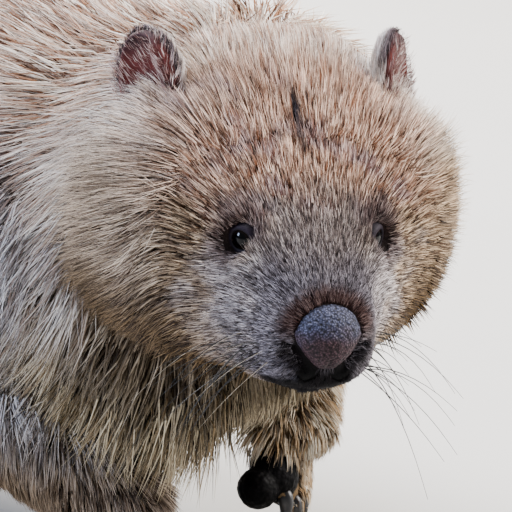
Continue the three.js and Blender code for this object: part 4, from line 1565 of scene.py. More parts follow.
class Nodes:
    """A short way to write a material's nodes."""

    def __init__(self, name: str) -> None:
        """Starts a material.

        Args:
            name: Its name.
        """
        self.material = bpy.data.materials.new(name)
        self.material.use_nodes = True
        self.tree = self.material.node_tree
        self.shader = self.tree.nodes["Principled BSDF"]

    def node(self, kind: str, **settings: object) -> bpy.types.Node:
        """Adds a node.

        Args:
            kind: Its type.
            settings: Its properties.

        Returns:
            The node.
        """
        made = self.tree.nodes.new(kind)
        for key, value in settings.items():
            setattr(made, key, value)
        return made

    def link(self, source: object, target: object) -> None:
        """Joins two sockets."""
        self.tree.links.new(source, target)

    def set(self, **values: object) -> None:
        """Sets sockets of the shader, with _ for each space in their names."""
        for key, value in values.items():
            self.shader.inputs[key.replace("_", " ")].default_value = value

    def places(self) -> object:
        """The socket that gives places in the animal's own frame."""
        return self.node("ShaderNodeTexCoord").outputs["Object"]

    def noise(self, scale: float, detail: float, stretch: tuple = (1, 1, 1)) -> object:
        """A noise texture.

        Args:
            scale: Patches for each metre.
            detail: How many finer layers it has.
            stretch: How the places are scaled first.

        Returns:
            The socket of its value.
        """
        mapping = self.node("ShaderNodeMapping")
        mapping.inputs["Scale"].default_value = stretch
        self.link(self.places(), mapping.inputs["Vector"])
        noise = self.node("ShaderNodeTexNoise")
        noise.inputs["Scale"].default_value = scale
        noise.inputs["Detail"].default_value = detail
        self.link(mapping.outputs["Vector"], noise.inputs["Vector"])
        return noise.outputs["Fac"]

    def cells(self, scale: float) -> object:
        """A texture of scattered cells.

        Args:
            scale: Cells for each metre.

        Returns:
            The socket of the distance to the nearest cell's centre.
        """
        cells = self.node("ShaderNodeTexVoronoi")
        cells.inputs["Scale"].default_value = scale
        self.link(self.places(), cells.inputs["Vector"])
        return cells.outputs["Distance"]

    def ramp(self, source: object, *stops: tuple[float, Array]) -> object:
        """Colours for a value.

        Args:
            source: The socket of the value.
            stops: Pairs of a value and a linear colour.

        Returns:
            The socket of the colour.
        """
        ramp = self.node("ShaderNodeValToRGB")
        band = ramp.color_ramp.elements
        while len(band) < len(stops):
            band.new(0.5)
        for element, (at, colour) in zip(band, stops):
            element.position = at
            element.color = (*[float(c) for c in colour], 1)
        self.link(source, ramp.inputs["Fac"])
        return ramp.outputs["Color"]

    def levels(self, source: object, low: float, high: float) -> object:
        """Maps a value from 0 to 1 to a range.

        Args:
            source: The socket of the value.
            low: What 0 becomes.
            high: What 1 becomes.

        Returns:
            The socket of the mapped value.
        """
        level = self.node("ShaderNodeMapRange")
        level.inputs["To Min"].default_value = low
        level.inputs["To Max"].default_value = high
        self.link(source, level.inputs["Value"])
        return level.outputs["Result"]

    def greys(self, source: object, *stops: tuple[float, float]) -> object:
        """Greys for a value, from pairs of a value and a level."""
        return self.ramp(source, *((at, np.full(3, level)) for at, level in stops))

    def multiplied(self, first: object, second: object) -> object:
        """Multiplies two colours.

        Args:
            first: The socket of one.
            second: The socket of the other.

        Returns:
            The socket of their product.
        """
        mix = self.node("ShaderNodeMix", data_type="RGBA", blend_type="MULTIPLY")
        mix.inputs["Factor"].default_value = 1.0
        self.link(first, mix.inputs["A"])
        self.link(second, mix.inputs["B"])
        return mix.outputs["Result"]

    def stored(self, name: str) -> object:
        """The colour that a mesh stores under a name."""
        return self.node("ShaderNodeAttribute", attribute_name=name).outputs["Color"]

    def bump(self, height: object, strength: float, depth: float) -> None:
        """Raises the surface's shading by a value.

        Args:
            height: The socket of the value.
            strength: How strong the effect is.
            depth: The height of a full step in metres.
        """
        bump = self.node("ShaderNodeBump")
        bump.inputs["Strength"].default_value = strength
        bump.inputs["Distance"].default_value = depth
        self.link(height, bump.inputs["Height"])
        self.feed("Normal", bump.outputs["Normal"])

    def feed(self, name: str, source: object) -> None:
        """Joins a socket to the shader's socket of that name."""
        self.link(source, self.shader.inputs[name])


@dataclass(frozen=True)
class GrainedFinish:
    """A finish with a stored colour under fine noise, which also sets its gloss and relief.

    The shades are pairs of a noise value and a grey that darkens the colour there.
    """

    name: str
    stored: str
    scale: float
    detail: float
    shades: tuple[tuple[float, float], ...]
    rough: tuple[float, float]
    specular: float = 0.5
    relief: float = 0.0
    depth: float = 0.0
    stretch: Triple = (1, 1, 1)
    ior: float = 1.5

    def make(self) -> Material:
        """Makes the material.

        Returns:
            The material.
        """
        n = Nodes(self.name)
        noise = n.noise(self.scale, self.detail, self.stretch)
        n.feed("Base Color", n.multiplied(n.stored(self.stored), n.greys(noise, *self.shades)))
        smooth, dull = self.rough
        if smooth == dull:
            n.set(Roughness=dull)
        else:
            n.feed("Roughness", n.levels(noise, smooth, dull))
        n.set(Specular_IOR_Level=self.specular, IOR=self.ior)
        if self.relief > 0:
            n.bump(noise, self.relief, self.depth)
        return n.material


THIN_SKIN = ((0.3, 0.62), (0.7, 1.0))
STREAKS = ((0.3, 0.55), (0.75, 1.0))
HAIR = GrainedFinish("coat_hair", "coat", 700, 3, ((0.25, 0.72), (0.75, 1.0)), (0.5, 0.5), 0.07)
# The skin under the coat is the coat's main colour darkened to between an eighth and a quarter:
# dark bare skin, and painted shade between the hairs.
UNDER_COAT = GrainedFinish(
    "skin_under_coat", "coat", 900, 6, ((0.3, 0.132), (0.7, 0.24)), (0.7, 0.9), 0.1, 0.6, 0.8 * MM
)
WET_EYE = GrainedFinish("eye_wet", "iris", 1400, 3, STREAKS, (0.04, 0.04), 0.3, ior=1.33)
LID_SKIN = GrainedFinish("lid_skin", "skin", 900, 6, THIN_SKIN, (0.5, 0.72), 0.14, 0.7, 0.25 * MM)
EAR_SKIN = replace(LID_SKIN, name="ear_skin", scale=500)
KERATIN = GrainedFinish(
    "claw_keratin", "keratin", 500, 5, STREAKS, (0.3, 0.5), 0.5, 0.4, 0.2 * MM, (1, 0.25, 1)
)


@dataclass(frozen=True)
class LeatherFinish:
    """Bare granular leather, pale on its grains and dark between them."""

    name: str
    dark: int
    mid: int
    pale: int
    grain: float
    specular: float
    rough: tuple[float, float] = (0.5, 0.7)
    depth: float = 0.35 * MM

    def make(self) -> Material:
        """Makes the material.

        Returns:
            The material.
        """
        n = Nodes(self.name)
        cells = n.cells(self.grain)
        stops = zip((0.0, 0.45, 0.9), (self.pale, self.mid, self.dark))
        tones = n.ramp(cells, *((at, srgb(tone)) for at, tone in stops))
        clouded = n.multiplied(tones, n.greys(n.noise(90, 5), (0.3, 0.6), (0.7, 1.0)))
        n.feed("Base Color", n.multiplied(clouded, n.stored("skin")))
        n.feed("Roughness", n.levels(cells, *self.rough))
        n.set(Specular_IOR_Level=self.specular)
        n.bump(n.levels(cells, 1.0, 0.0), 0.9, self.depth)
        return n.material


NOSE_LEATHER = LeatherFinish("nose_leather", 0x0A090D, 0x37384A, 0x686C84, 1000, 0.16)
SOLE_LEATHER = LeatherFinish("sole_leather", 0x010101, 0x030203, 0x0C090B, 480, 0.05)


@dataclass(frozen=True)
class WhiskerFinish:
    """Stiff, glossy whiskers in their stored colours."""

    roughness: float = 0.35

    def make(self) -> Material:
        """Makes the material.

        Returns:
            The material.
        """
        n = Nodes("whisker")
        n.feed("Base Color", n.stored("coat"))
        n.set(Roughness=self.roughness)
        return n.material


@dataclass(frozen=True)
class FloorFinish:
    """A plain pale studio floor."""

    pale: int = 0xB9B8B4
    cloud: float = 0.96
    roughness: float = 0.85

    def make(self) -> Material:
        """Makes the material.

        Returns:
            The material.
        """
        n = Nodes("floor_pale")
        tone = srgb(self.pale)
        n.feed("Base Color", n.ramp(n.noise(3, 3), (0.3, tone * self.cloud), (0.7, tone)))
        n.set(Roughness=self.roughness)
        return n.material


@dataclass
class Skin:
    """The one skin that stands for all the flesh: a coarse body and a finer face."""

    build: Build
    body_voxel: float = 3.2 * MM
    face_voxel: float = 1.28 * MM
    seam: float = 30 * MM
    overlap: float = 3 * MM
    floor_gap: float = 0.4 * MM
    socket_half: float = 7.2 * MM
    socket_depth: float = 5 * MM
    brow_half: float = 11 * MM
    brow_rise: float = 0.7 * MM
    nostril_depth: float = 7.0
    cleft: tuple = ((0, -47, -44), (0, -44, -52))
    cleft_depth: float = 2.0
    lifted_slim: float = 4 * MM
    wrist_spared: float = 5.5 * MM
    face_tufts: int = 76000
    body_tufts: int = 117000
    guard_hairs: int = 16000
    nodes: tuple[str, ...] = ("head", "lower_jaw", "neck", "torso", "tail")
    anatomy: Anatomy = field(init=False)
    body: Shell = field(init=False)
    face: Shell = field(init=False)

    def __post_init__(self) -> None:
        """Melts the forms together."""
        build = self.build
        self.anatomy = build.anatomy
        head = build.head.inset(np.array(build.HEAD_DEPTHS) * MM).shell(40, 56)
        self.body = self.trim_body(fused(self.body_parts(head), self.body_voxel, 10))
        lips = [form.shell(16, 20) for form in build.upper_lips()]
        face = self.nostrils(fused([head, *lips], self.face_voxel, 5))
        jaw = fused([build.lower_jaw().shell(20, 28)], self.face_voxel, 3)
        self.face = self.sockets(joined([self.trim_face(face), jaw]))
        self.face = self.face.moved(self.anatomy.head_turn, self.anatomy.head_origin)

    def body_parts(self, head: Shell) -> list[Shell]:
        """The closed surfaces of everything but the lips.

        Args:
            head: The head, in its own frame.

        Returns:
            The surfaces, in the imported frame.
        """
        b = self.build
        parts = [head.moved(self.anatomy.head_turn, self.anatomy.head_origin)]
        parts.append(b.torso.inset(b.TORSO_DEPTH).shell(40, 60))
        parts.append(b.neck.inset(b.NECK_DEPTH).shell(24, 48))
        parts.append(limb([(p, r - 2.5 * MM) for p, r in b.tail]).shell(12, 16))
        for (kind, side), lengths in b.legs.items():
            depth = b.LEG_DEPTH + (self.lifted_slim if is_lifted(kind, side) else 0)
            for part, (stops, flat) in enumerate(lengths):
                last = len(stops) - 1
                slim = [
                    (p, r - (depth if part == 0 else depth - self.wrist_spared * i / last))
                    for i, (p, r) in enumerate(stops)
                ]
                parts.append(limb(slim, flat).shell(18, 28))
        for foot in b.feet:
            parts.append(foot.placed(foot.body(b.FOOT_DEPTH).shell(20, 28), self.anatomy))
            for root, tip, _ in foot.toe_lines():
                toe = limb([(root, foot.half * 0.25), (tip, foot.half * 0.235)], up=UPWARD)
                parts.append(foot.placed(toe.shell(10, 14), self.anatomy))
        return parts

    def trim_body(self, shell: Shell) -> Shell:
        """Cuts the face from the body's skin and levels its feet with the floor.

        Args:
            shell: The body's surface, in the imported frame.

        Returns:
            The trimmed and closed surface.
        """
        local = self.anatomy.to_head(shell.points)
        near = (np.abs(local[:, 0]) < 0.09) & (local[:, 2] > -0.085) & (local[:, 2] < 0.05)
        keep = ~(near & (local[:, 1] < self.seam))
        shell = shell.kept(keep)
        shell.points[:, 2] = np.maximum(shell.points[:, 2], self.floor_gap)
        return shell.closed()

    def trim_face(self, shell: Shell) -> Shell:
        """The face's skin as far as it overlaps the body's."""
        return shell.kept(shell.points[:, 1] < self.seam + self.overlap).closed()

    def nostrils(self, shell: Shell) -> Shell:
        """Sinks the skin beside the nose pad into two slits, and under it into a cleft.

        Args:
            shell: The face, in the head's frame.

        Returns:
            The same surface, sunk there.
        """
        slits = [groove(shell.points, NosePad.slit(side), (2.1, 3.0, 2.6)) for side in Side]
        cleft = groove(shell.points, self.cleft, (1.3, 1.6))
        sink = self.nostril_depth * sum(slits) + self.cleft_depth * cleft
        shell.points -= shell.normals() * sink[:, None] * MM
        return shell

    def sockets(self, shell: Shell) -> Shell:
        """Sinks the skin behind each eyeball's front.

        Args:
            shell: The face, in the head's frame.

        Returns:
            The same surface, with its sockets and brows.
        """
        normals = shell.normals()
        for side in Side:
            _, gaze = self.anatomy.eye(side)
            apart, _, before = self.anatomy.round_eye(side, shell.points)
            hollow = np.exp(-((apart / self.socket_half) ** 6)) * before
            shell.points -= gaze * (hollow * self.socket_depth)[:, None]
            brow = np.exp(-(((apart - self.brow_half) / (4 * MM)) ** 2)) * before
            shell.points += normals * (brow * self.brow_rise)[:, None]
        return shell

    def guard_hair(self, hair: Hair, lie: Lie) -> Hair:
        """Thin pale hairs that stand out of the coat, most of them round the head.

        Args:
            hair: The coat that they stand in.
            lie: Tells which part of the body each place is on.

        Returns:
            How they grow.
        """
        at = lie.body.read(self.body.points)
        behind = ease(at.local[:, 1], 32 * MM, 72 * MM)
        round_head = (at.on("head") + 0.5 * at.on("neck")) * behind
        longer = 1.12 + 0.18 * round_head - 0.4 * ease(self.body.points[:, 2], 0.23, 0.27)
        tones = hair.tones.copy()
        tones[:, 3:6] = 0.6 * hair.tones[:, 3:6] + 0.4 * hair.tones[:, 6:9]
        return Hair(
            hair.lie,
            hair.length * longer,
            hair.width * 0.4,
            hair.lift * (1.1 + 0.15 * round_head),
            hair.density * (0.15 + round_head),
            tones,
        )

    def dress(self, lie: Lie, coat: Coat, finish: Material) -> None:
        """Makes the skin and grows its coat.

        Args:
            lie: How the coat grows.
            coat: Grows it.
            finish: The skin's material.
        """
        face_hair, body_hair = lie.grow(self.face), lie.grow(self.body)
        whole = joined([self.face, self.body])
        made = make_mesh("skin", whole)
        tones = np.vstack([face_hair.tones, body_hair.tones])
        paint(made, "coat", tones[:, 3:6])
        nodes = list(self.nodes)
        for kind in Kind:
            for side in Side:
                nodes += [f"{kind.value}leg_{side.word}", f"{kind.value}foot_{side.word}"]
        place(made, finish, "coat", *nodes)
        guard = self.guard_hair(body_hair, lie)
        wisps = TuftStyle(clump=9 * MM, pull=0.2, stray=0.1, root_shade=0.2, tip_pale=0.9)
        coat.cover("guard_hair", self.body, guard, self.guard_hairs, wisps, 43)
        fine = TuftStyle(clump=3 * MM, pull=0.3, stray=0.03, shared=0.25)
        coat.cover("coat_face", self.face, face_hair, self.face_tufts, fine, 41)
        rate = self.face_tufts / coat.weights(self.face, face_hair.density).sum()
        share = lie.body.read(self.body.points).on("head")
        crown_hair = replace(body_hair, density=body_hair.density * share)
        count = round(rate * coat.weights(self.body, crown_hair.density).sum())
        loose = TuftStyle(clump=4.5 * MM, pull=0.4, stray=0.05, shared=0.35)
        coat.cover("coat_crown", self.body, crown_hair, count, loose, 44)
        rest = replace(body_hair, density=body_hair.density * (1 - share))
        coat.cover("coat_body", self.body, rest, self.body_tufts, TuftStyle(), 42)


@dataclass
class Eye:
    """One eyeball, bulging a little at its clear front; pupil and iris are angles in radians."""

    anatomy: Anatomy
    side: Side
    finish: Material
    bulge: float = 0.35 * MM
    bulge_reach: float = 0.5
    pupil: float = 0.42
    iris: float = 0.66

    def dress(self) -> None:
        """Makes the eyeball."""
        centre, gaze, across, up = self.anatomy.eye_frame(self.side)
        polar, around, faces = globe(39, 56)
        ways = gaze * np.cos(polar)[:, None]
        ways = ways + across * (np.sin(polar) * np.cos(around))[:, None]
        ways = ways + up * (np.sin(polar) * np.sin(around))[:, None]
        radius = self.anatomy.EYE_RADIUS + self.bulge * np.exp(-((polar / self.bulge_reach) ** 2))
        points = self.anatomy.from_head(centre + ways * radius[:, None])
        made = make_mesh(f"eyeball_{self.side.word}", oriented(Shell(points, faces)))
        rim, brown, black = srgb(0x060409), srgb(0x120906), srgb(0x010102)
        inner = ease(polar, self.pupil, self.pupil + 0.06)[:, None]
        outer = ease(polar, self.iris, self.iris + 0.1)[:, None]
        colours = black * (1 - inner) + brown * inner
        paint(made, "iris", colours * (1 - outer) + rim * outer)
        place(made, self.finish, "eye", f"eye_{self.side.word}")


def globe(rows: int, around: int) -> tuple[Array, Array, Array]:
    """Angles and triangles of a closed globe with one point at each pole.

    Args:
        rows: Rings of points between the poles.
        around: Points in each ring.

    Returns:
        The angle from the first pole and round the axis of each point, and the triangles.
    """
    step = np.linspace(0, math.pi, rows + 2)[1:-1]
    polar = np.concatenate([[0], np.repeat(step, around), [math.pi]])
    turn = np.arange(around) * 2 * math.pi / around
    turn = np.concatenate([[0], np.tile(turn, rows), [0]])
    return polar, turn, capped(rows, around)


@dataclass
class Lids:
    """The bare rim of skin round one eye, which hugs the eyeball.

    Each row of the profile holds how far it lies out from the opening and before its edge, in
    millimetres, and its share of the paler colour.
    """

    anatomy: Anatomy
    side: Side
    finish: Material
    wide_opening: float = 35.0
    tall_opening: float = 31.0
    dark: int = 0x07040A
    pale: int = 0x1E1420
    profile: tuple = (
        (0.0, 0.1, 0.0),
        (0.12, 0.35, 0.1),
        (0.5, 0.6, 0.4),
        (1.1, 0.65, 0.8),
        (1.8, 0.4, 1.0),
        (2.4, -0.1, 0.8),
        (2.9, -1.0, 0.6),
        (3.5, -2.6, 0.5),
        (4.2, -4.8, 0.5),
        (2.8, -4.6, 0.3),
        (1.3, -1.5, 0.1),
    )

    def dress(self) -> None:
        """Makes the lids."""
        centre, gaze, across, up = self.anatomy.eye_frame(self.side)
        around = np.arange(72) * 2 * math.pi / 72
        opening = np.radians(
            np.hypot(self.wide_opening * np.cos(around), self.tall_opening * np.sin(around))
        )
        edge = self.anatomy.EYE_RADIUS + 0.1 * MM
        spoke = across * np.cos(around)[:, None] + up * np.sin(around)[:, None]
        rows = []
        for wider, out, _ in self.profile:
            crease = 0.1 * np.sin(around * 7 + wider * 3) * (wider > 1)
            reach = edge * np.sin(opening) + wider * MM
            depth = edge * np.cos(opening) + (out + crease) * MM
            rows.append(centre + spoke * reach[:, None] + gaze * depth[:, None])
        count, n = len(rows), len(around)
        j = np.arange(n)
        after = (j + 1) % n
        faces = []
        for i in range(count):
            a, b = i * n + j, i * n + after
            c, d = (i + 1) % count * n + j, (i + 1) % count * n + after
            faces += [np.stack([a, c, d], 1), np.stack([a, d, b], 1)]
        points = self.anatomy.from_head(np.vstack(rows))
        made = make_mesh(f"lids_{self.side.word}", oriented(Shell(points, np.vstack(faces))))
        share = np.repeat(np.array([row[2] for row in self.profile]), n)[:, None]
        paint(made, "skin", srgb(self.dark) * (1 - share) + srgb(self.pale) * share)
        place(made, self.finish, "face")


@dataclass
class NosePad:
    """The bulging leather pad, with a slit nostril at each side and a cleft below."""

    anatomy: Anatomy
    finish: Material
    half: Triple = (15.6, 12, 16)
    centre: Triple = (0, -40, -28)
    lean: float = -25.0
    rows: int = 130
    around: int = 180

    @staticmethod
    def slit(side: Side) -> list[Triple]:
        """The line of one nostril, in the head's frame and in millimetres."""
        s = side.value
        return [(s * 17.5, -41, -33.5), (s * 12.4, -46, -39.5), (s * 6.4, -48.5, -45)]

    def dress(self) -> None:
        """Makes the pad."""
        polar, around, faces = globe(self.rows, self.around)
        y, z = np.sin(polar) * np.sin(around), np.cos(polar)
        blunt = np.sin(polar) ** 0.7 * (1 - 0.46 * np.abs(z))
        x = np.where(z < 0, blunt, np.sin(polar) * (1 + 0.12 * z * z)) * np.cos(around)
        points = np.stack([x, y, z], 1) * np.array(self.half) * MM
        points = points @ turned(self.lean).T + np.array(self.centre) * MM
        shell = oriented(Shell(points, faces))
        normals = shell.normals()
        sink = np.zeros(len(points))
        for side in Side:
            sink += 6 * groove(points, self.slit(side), (1.5, 2.1, 1.7))
            wing = [(side.value * 14.5, -43, -29), (side.value * 8, -52, -36)]
            sink -= 0.8 * groove(points, wing, (4, 4))
        sink += 1.3 * groove(points, [(0, -52, -36), (0, -48, -44)], (1.1, 1.4))
        points = points - normals * sink[:, None] * MM
        points += normals * (0.12 * MM * ripple(points, 2.6 * MM, 5))[:, None]
        made = make_mesh("nose_pad", Shell(self.anatomy.from_head(points), shell.faces))
        low = ease(z + 0.12 * ripple(points, 9 * MM, 6), 0.3, -0.4)[:, None]
        # Painted shade: the sunk nostril slits and the cleft are darkened nearly to black.
        hollow = np.clip(sink / 2.5, 0, 1)[:, None]
        tint = np.array([0.95, 0.97, 1.05]) * (1 - low) + np.array([0.85, 0.4, 0.3]) * low
        paint(made, "skin", tint * (1 - 0.95 * hollow))
        place(made, self.finish, "pad", "nose")


def groove(points: Array, line: list, widths: tuple) -> Array:
    """How deep places lie in a groove along a line, 1 on the line and 0 away from it.

    Args:
        points: The places in metres.
        line: The line's points in millimetres.
        widths: The groove's half-width at each of them in millimetres.

    Returns:
        One value for each place.
    """
    best = np.zeros(len(points))
    for k in range(len(line) - 1):
        start, end = mm(*line[k]), mm(*line[k + 1])
        way = end - start
        t = np.clip((points - start) @ way / (way @ way), 0, 1)
        apart = np.linalg.norm(points - start - t[:, None] * way, axis=1) / MM
        width = widths[k] * (1 - t) + widths[k + 1] * t
        best = np.maximum(best, np.exp(-((apart / width) ** 2)))
    return best


@dataclass
class Ear:
    """One ear: a thin cup with hair behind it, on its rim and thinly inside."""

    anatomy: Anatomy
    side: Side
    length: float = 34 * MM
    half: float = 17.5 * MM
    wall: float = 1.8 * MM
    base: Triple = (59, 78.5, 35)
    lean: tuple[float, float] = (0.3, 0.75)
    outward: float = 50.0
    voxel: float = 0.75 * MM

    def rows(self, wall: float, forward: float, deep: float) -> list[list[float]]:
        """The rings of the cup's outside or hollow.

        Args:
            wall: How far inside the outside they lie.
            forward: How far they are moved to the cup's front.
            deep: How far below its root the cup starts.

        Returns:
            The rings.
        """
        h, w = self.length, self.half
        levels = [
            (-deep + wall, 0, 0, 0),
            (-deep + 2 * MM + wall, w * 0.74 - wall, 8 * MM - wall, 0),
            (0, w * 0.96 - wall, 9 * MM - wall, 0),
            (h * 0.35, w - wall, 8 * MM - wall, 1 * MM),
            (h * 0.68, w * 0.8 - wall, 6 * MM - wall / 2, 2 * MM),
            (h * 0.93 - wall, w * 0.42 - wall / 2, 4 * MM - wall / 2, 3 * MM),
            (h - wall, 0, 0, 3 * MM),
        ]
        return [[0, forward + more, z, wide, deep, deep, 2, 2] for z, wide, deep, more in levels]

    def matrix(self) -> Array:
        """How the cup is turned.

        Returns:
            Its own directions in the head's frame, as columns.
        """
        s = self.side.value
        rise = unit(np.array([s * self.lean[0], self.lean[1], 1]))
        angle = math.radians(self.outward)
        facing = np.array([s * math.sin(angle), -math.cos(angle), 0])
        back = -unit(facing - rise * (facing @ rise))
        return np.stack([np.cross(back, rise), back, rise], 1)

    def cup(self) -> Shell:
        """Cuts the hollow out of the cup.

        Returns:
            The cup's surface, in its own frame.
        """
        front = BACKWARD
        outer = Form(np.array(self.rows(0, 0, 20 * MM), float), UPWARD, front).shell(30, 48)
        hollow = Form(np.array(self.rows(self.wall, -5.5 * MM, 12 * MM), float), UPWARD, front)
        solid = make_mesh("ear_solid", outer)
        hole = make_mesh("ear_hole", hollow.shell(30, 48))
        cut = solid.modifiers.new("cut", "BOOLEAN")
        cut.operation = "DIFFERENCE"
        cut.solver = "EXACT"
        cut.object = hole
        return fused([taken(solid, hole)], self.voxel, 3)

    def dress(self, coat: Coat, marks: Markings, finish: Material, seed: int) -> None:
        """Makes the ear and its hair.

        Args:
            coat: Grows the hair.
            marks: The coat's colours.
            finish: The material of the bare skin.
            seed: The draw of the hair.
        """
        cup = self.cup()
        turn = self.anatomy.head_turn @ self.matrix()
        origin = self.anatomy.from_head(mm(self.side.value * self.base[0], *self.base[1:]))
        shell = cup.moved(turn, origin)
        x, y, z = (cup.points / MM).T
        own = cup.normals()
        inside = ease(-own[:, 1], -0.1, 0.35) * ease(y, 6, 1)
        rim = ease(z, 20, 30)
        made = make_mesh(f"ear_cup_{self.side.word}", shell)
        # Painted shade: the inside of the cup darkens from pink to near black towards its bottom.
        deep = ease(z, 14, -4)[:, None] * inside[:, None]
        pink = srgb(0x5A2420) * (1 - deep) + srgb(0x160605) * deep
        grey = srgb(0x241A20)
        share = (inside * (1 - 0.8 * rim))[:, None]
        paint(made, "skin", pink * share + grey * (1 - share))
        place(made, finish, "ear", f"ear_{self.side.word}")
        lie = np.tile(np.array([0.0, 0.12, 1.0]), (len(x), 1))
        lie[:, 0] += 0.5 * x / 16
        lie = unit(lie - own * (lie * own).sum(1, keepdims=True))
        hairy = 3.2 if self.side is Side.LEFT else 1.0
        sparse = hairy * np.where(inside > 0.4, 0.1 + 0.3 * ease(np.abs(x), 7, 14), 1.0)
        length = np.where(inside > 0.4, 7.5, 8.0) * (1 - 0.45 * rim)
        tones = np.outer(1 - inside, marks.ear_back.row())
        tones += np.outer(inside, marks.ear_inside.row())
        edge = (ease(np.abs(own[:, 1]), 0.85, 0.35) * ease(z, 2, 12))[:, None]
        tones = tones * (1 - edge) + marks.ear_rim.row() * edge
        hair = Hair(
            lie @ turn.T,
            length * MM,
            np.full(len(x), 0.34 * MM),
            np.radians(26 + 14 * inside),
            sparse * (z > -8),
            tones,
        )
        style = TuftStyle(clump=3 * MM, pull=0.4, stray=0.08, tip_pale=0.8)
        coat.cover(f"coat_ear_{self.side.word}", shell, hair, 5000, style, seed)


@dataclass
class Claws:
    """The claws of one foot, pale at their tips and edges."""

    anatomy: Anatomy
    foot: Foot
    finish: Material
    curl: float = 40.0
    dark: int = 0x0C0909
    pale: int = 0x9A9288

    def dress(self) -> None:
        """Makes each claw."""
        foot = self.foot
        for number, (_, tip, spread) in enumerate(foot.toe_lines(), 1):
            angle = math.radians(spread)
            way = np.array([math.sin(angle), -math.cos(angle), 0])
            origin = tip + way * foot.half * 0.1 + UPWARD * foot.half * 0.06
            shell = self.claw(foot.claw_length, foot.claw_radius)
            t = np.clip(-shell.points[:, 1] / foot.claw_length, 0, 1)
            own = turned(0, 0, spread)
            world = foot.placed(shell.moved(own, origin), self.anatomy)
            world.points[:, 2] = np.maximum(world.points[:, 2], 0.2 * MM)
            made = make_mesh(f"{foot.kind.value}_nail_{foot.side.word}_{number}", world)
            edge = np.abs(shell.points[:, 0]) / foot.claw_radius
            rim = 0.6 * ease(edge, 0.5, 0.8) * ease(t, 0.1, 0.4)
            pale = np.clip(ease(t, 0.6, 1.1) * 0.5 + rim, 0, 1)[:, None]
            paint(made, "keratin", srgb(self.dark) * (1 - pale) + srgb(self.pale) * pale)
            place(made, self.finish, "claw", f"{foot.kind.value}_claw_{foot.side.word}_{number}")

    def claw(self, length: float, radius: float) -> Shell:
        """A claw on its own origin, leaving along -Y and curving down.

        Args:
            length: Its length.
            radius: Its radius at the root.

        Returns:
            Its surface.
        """
        stops = []
        for t in (0, 0.25, 0.5, 0.75, 1):
            bend = math.radians(self.curl) * t
            spot = [0, -length * t * math.cos(bend / 2), -length * t * math.sin(bend) * 0.8]
            stops.append((np.array(spot), radius * (1 - 0.82 * t**1.5)))
        return limb(stops, 0.72, UPWARD).shell(18, 18)


@dataclass
class Soles:
    """The leather pads under one foot."""

    anatomy: Anatomy
    foot: Foot
    finish: Material

    def dress(self) -> None:
        """Makes the pads as one piece."""
        foot = self.foot
        shells = [egg(spot, radii) for spot, radii in foot.pads()]
        shell = foot.placed(fused(shells, 1.0 * MM, 2), self.anatomy)
        shell.points += shell.normals() * (0.15 * MM * ripple(shell.points, 3 * MM, 8))[:, None]
        shell.points[:, 2] = np.maximum(shell.points[:, 2], 0.1 * MM)
        made = make_mesh(f"soles_{foot.kind.value}_{foot.side.word}", shell)
        worn = 0.75 + 0.25 * ripple(shell.points, 12 * MM, 9)
        paint(made, "skin", np.outer(worn, np.ones(3)))
        place(made, self.finish, "paw")


def egg(centre: Array, radii: Array, rows: int = 22, around: int = 36) -> Shell:
    """A closed rounded lump.

    Args:
        centre: Its middle.
        radii: Its half-sizes.
        rows: Rings of points between the poles.
        around: Points in each ring.

    Returns:
        Its surface.
    """
    polar, turn, faces = globe(rows, around)
    ways = [np.sin(polar) * np.cos(turn), np.sin(polar) * np.sin(turn), np.cos(polar)]
    return oriented(Shell(centre + np.stack(ways, 1) * radii, faces))


@dataclass
class Whiskers:
    """Long tapered whiskers from both sides of the muzzle."""

    anatomy: Anatomy
    finish: Material
    each_side: int = 20
    radius: float = 0.3 * MM
    dark: int = 0x060403
    pale: int = 0xA89C88

    def dress(self) -> None:
        """Makes all whiskers as one piece."""
        random = np.random.default_rng(77)
        shells, colours = [], []
        for side in Side:
            for _ in range(self.each_side):
                s = side.value
                across, high = random.uniform(0, 1), random.uniform(0, 1)
                root = mm(s * (14 + 14 * across), -36 + 32 * across, -52 + 14 * high)
                way = np.array([s * random.uniform(0.7, 1.1), random.uniform(-0.45, 0.5), 0])
                way[2] = random.uniform(-0.6, 0.3)
                length = random.uniform(26, 60) * MM
                dark = side is Side.LEFT or random.random() < 0.7
                thick = self.radius * (1.1 if dark else 0.4)
                shell = self.whisker(root, unit(way), length, random.uniform(0.25, 0.9), thick)
                shells.append(shell)
                tone = srgb(self.dark if dark else self.pale)
                colours.append(np.tile(tone, (len(shell.points), 1)))
        whole = joined(shells)
        whole.points = self.anatomy.from_head(whole.points)
        made = make_mesh("whiskers", whole)
        paint(made, "coat", np.vstack(colours))
        place(made, self.finish, "coat")

    def whisker(self, root: Array, way: Array, length: float, sag: float, thick: float) -> Shell:
        """One whisker, in the head's frame.

        Args:
            root: Where it leaves the skin.
            way: Which way it leaves.
            length: Its length.
            sag: How far it bends down by its tip, as a share of its length.
            thick: Its radius at the root.

        Returns:
            Its surface.
        """
        t = np.array([-0.06, 0.12, 0.3, 0.48, 0.66, 0.84, 1.0])
        line = root + np.outer(t, way) * length
        line[:, 2] -= sag * length * np.maximum(t, 0) ** 2
        stops = [(p, thick * (1 - 0.7 * max(s, 0))) for p, s in zip(line, t)]
        return limb(stops, 1.0, UPWARD).shell(16, 5)


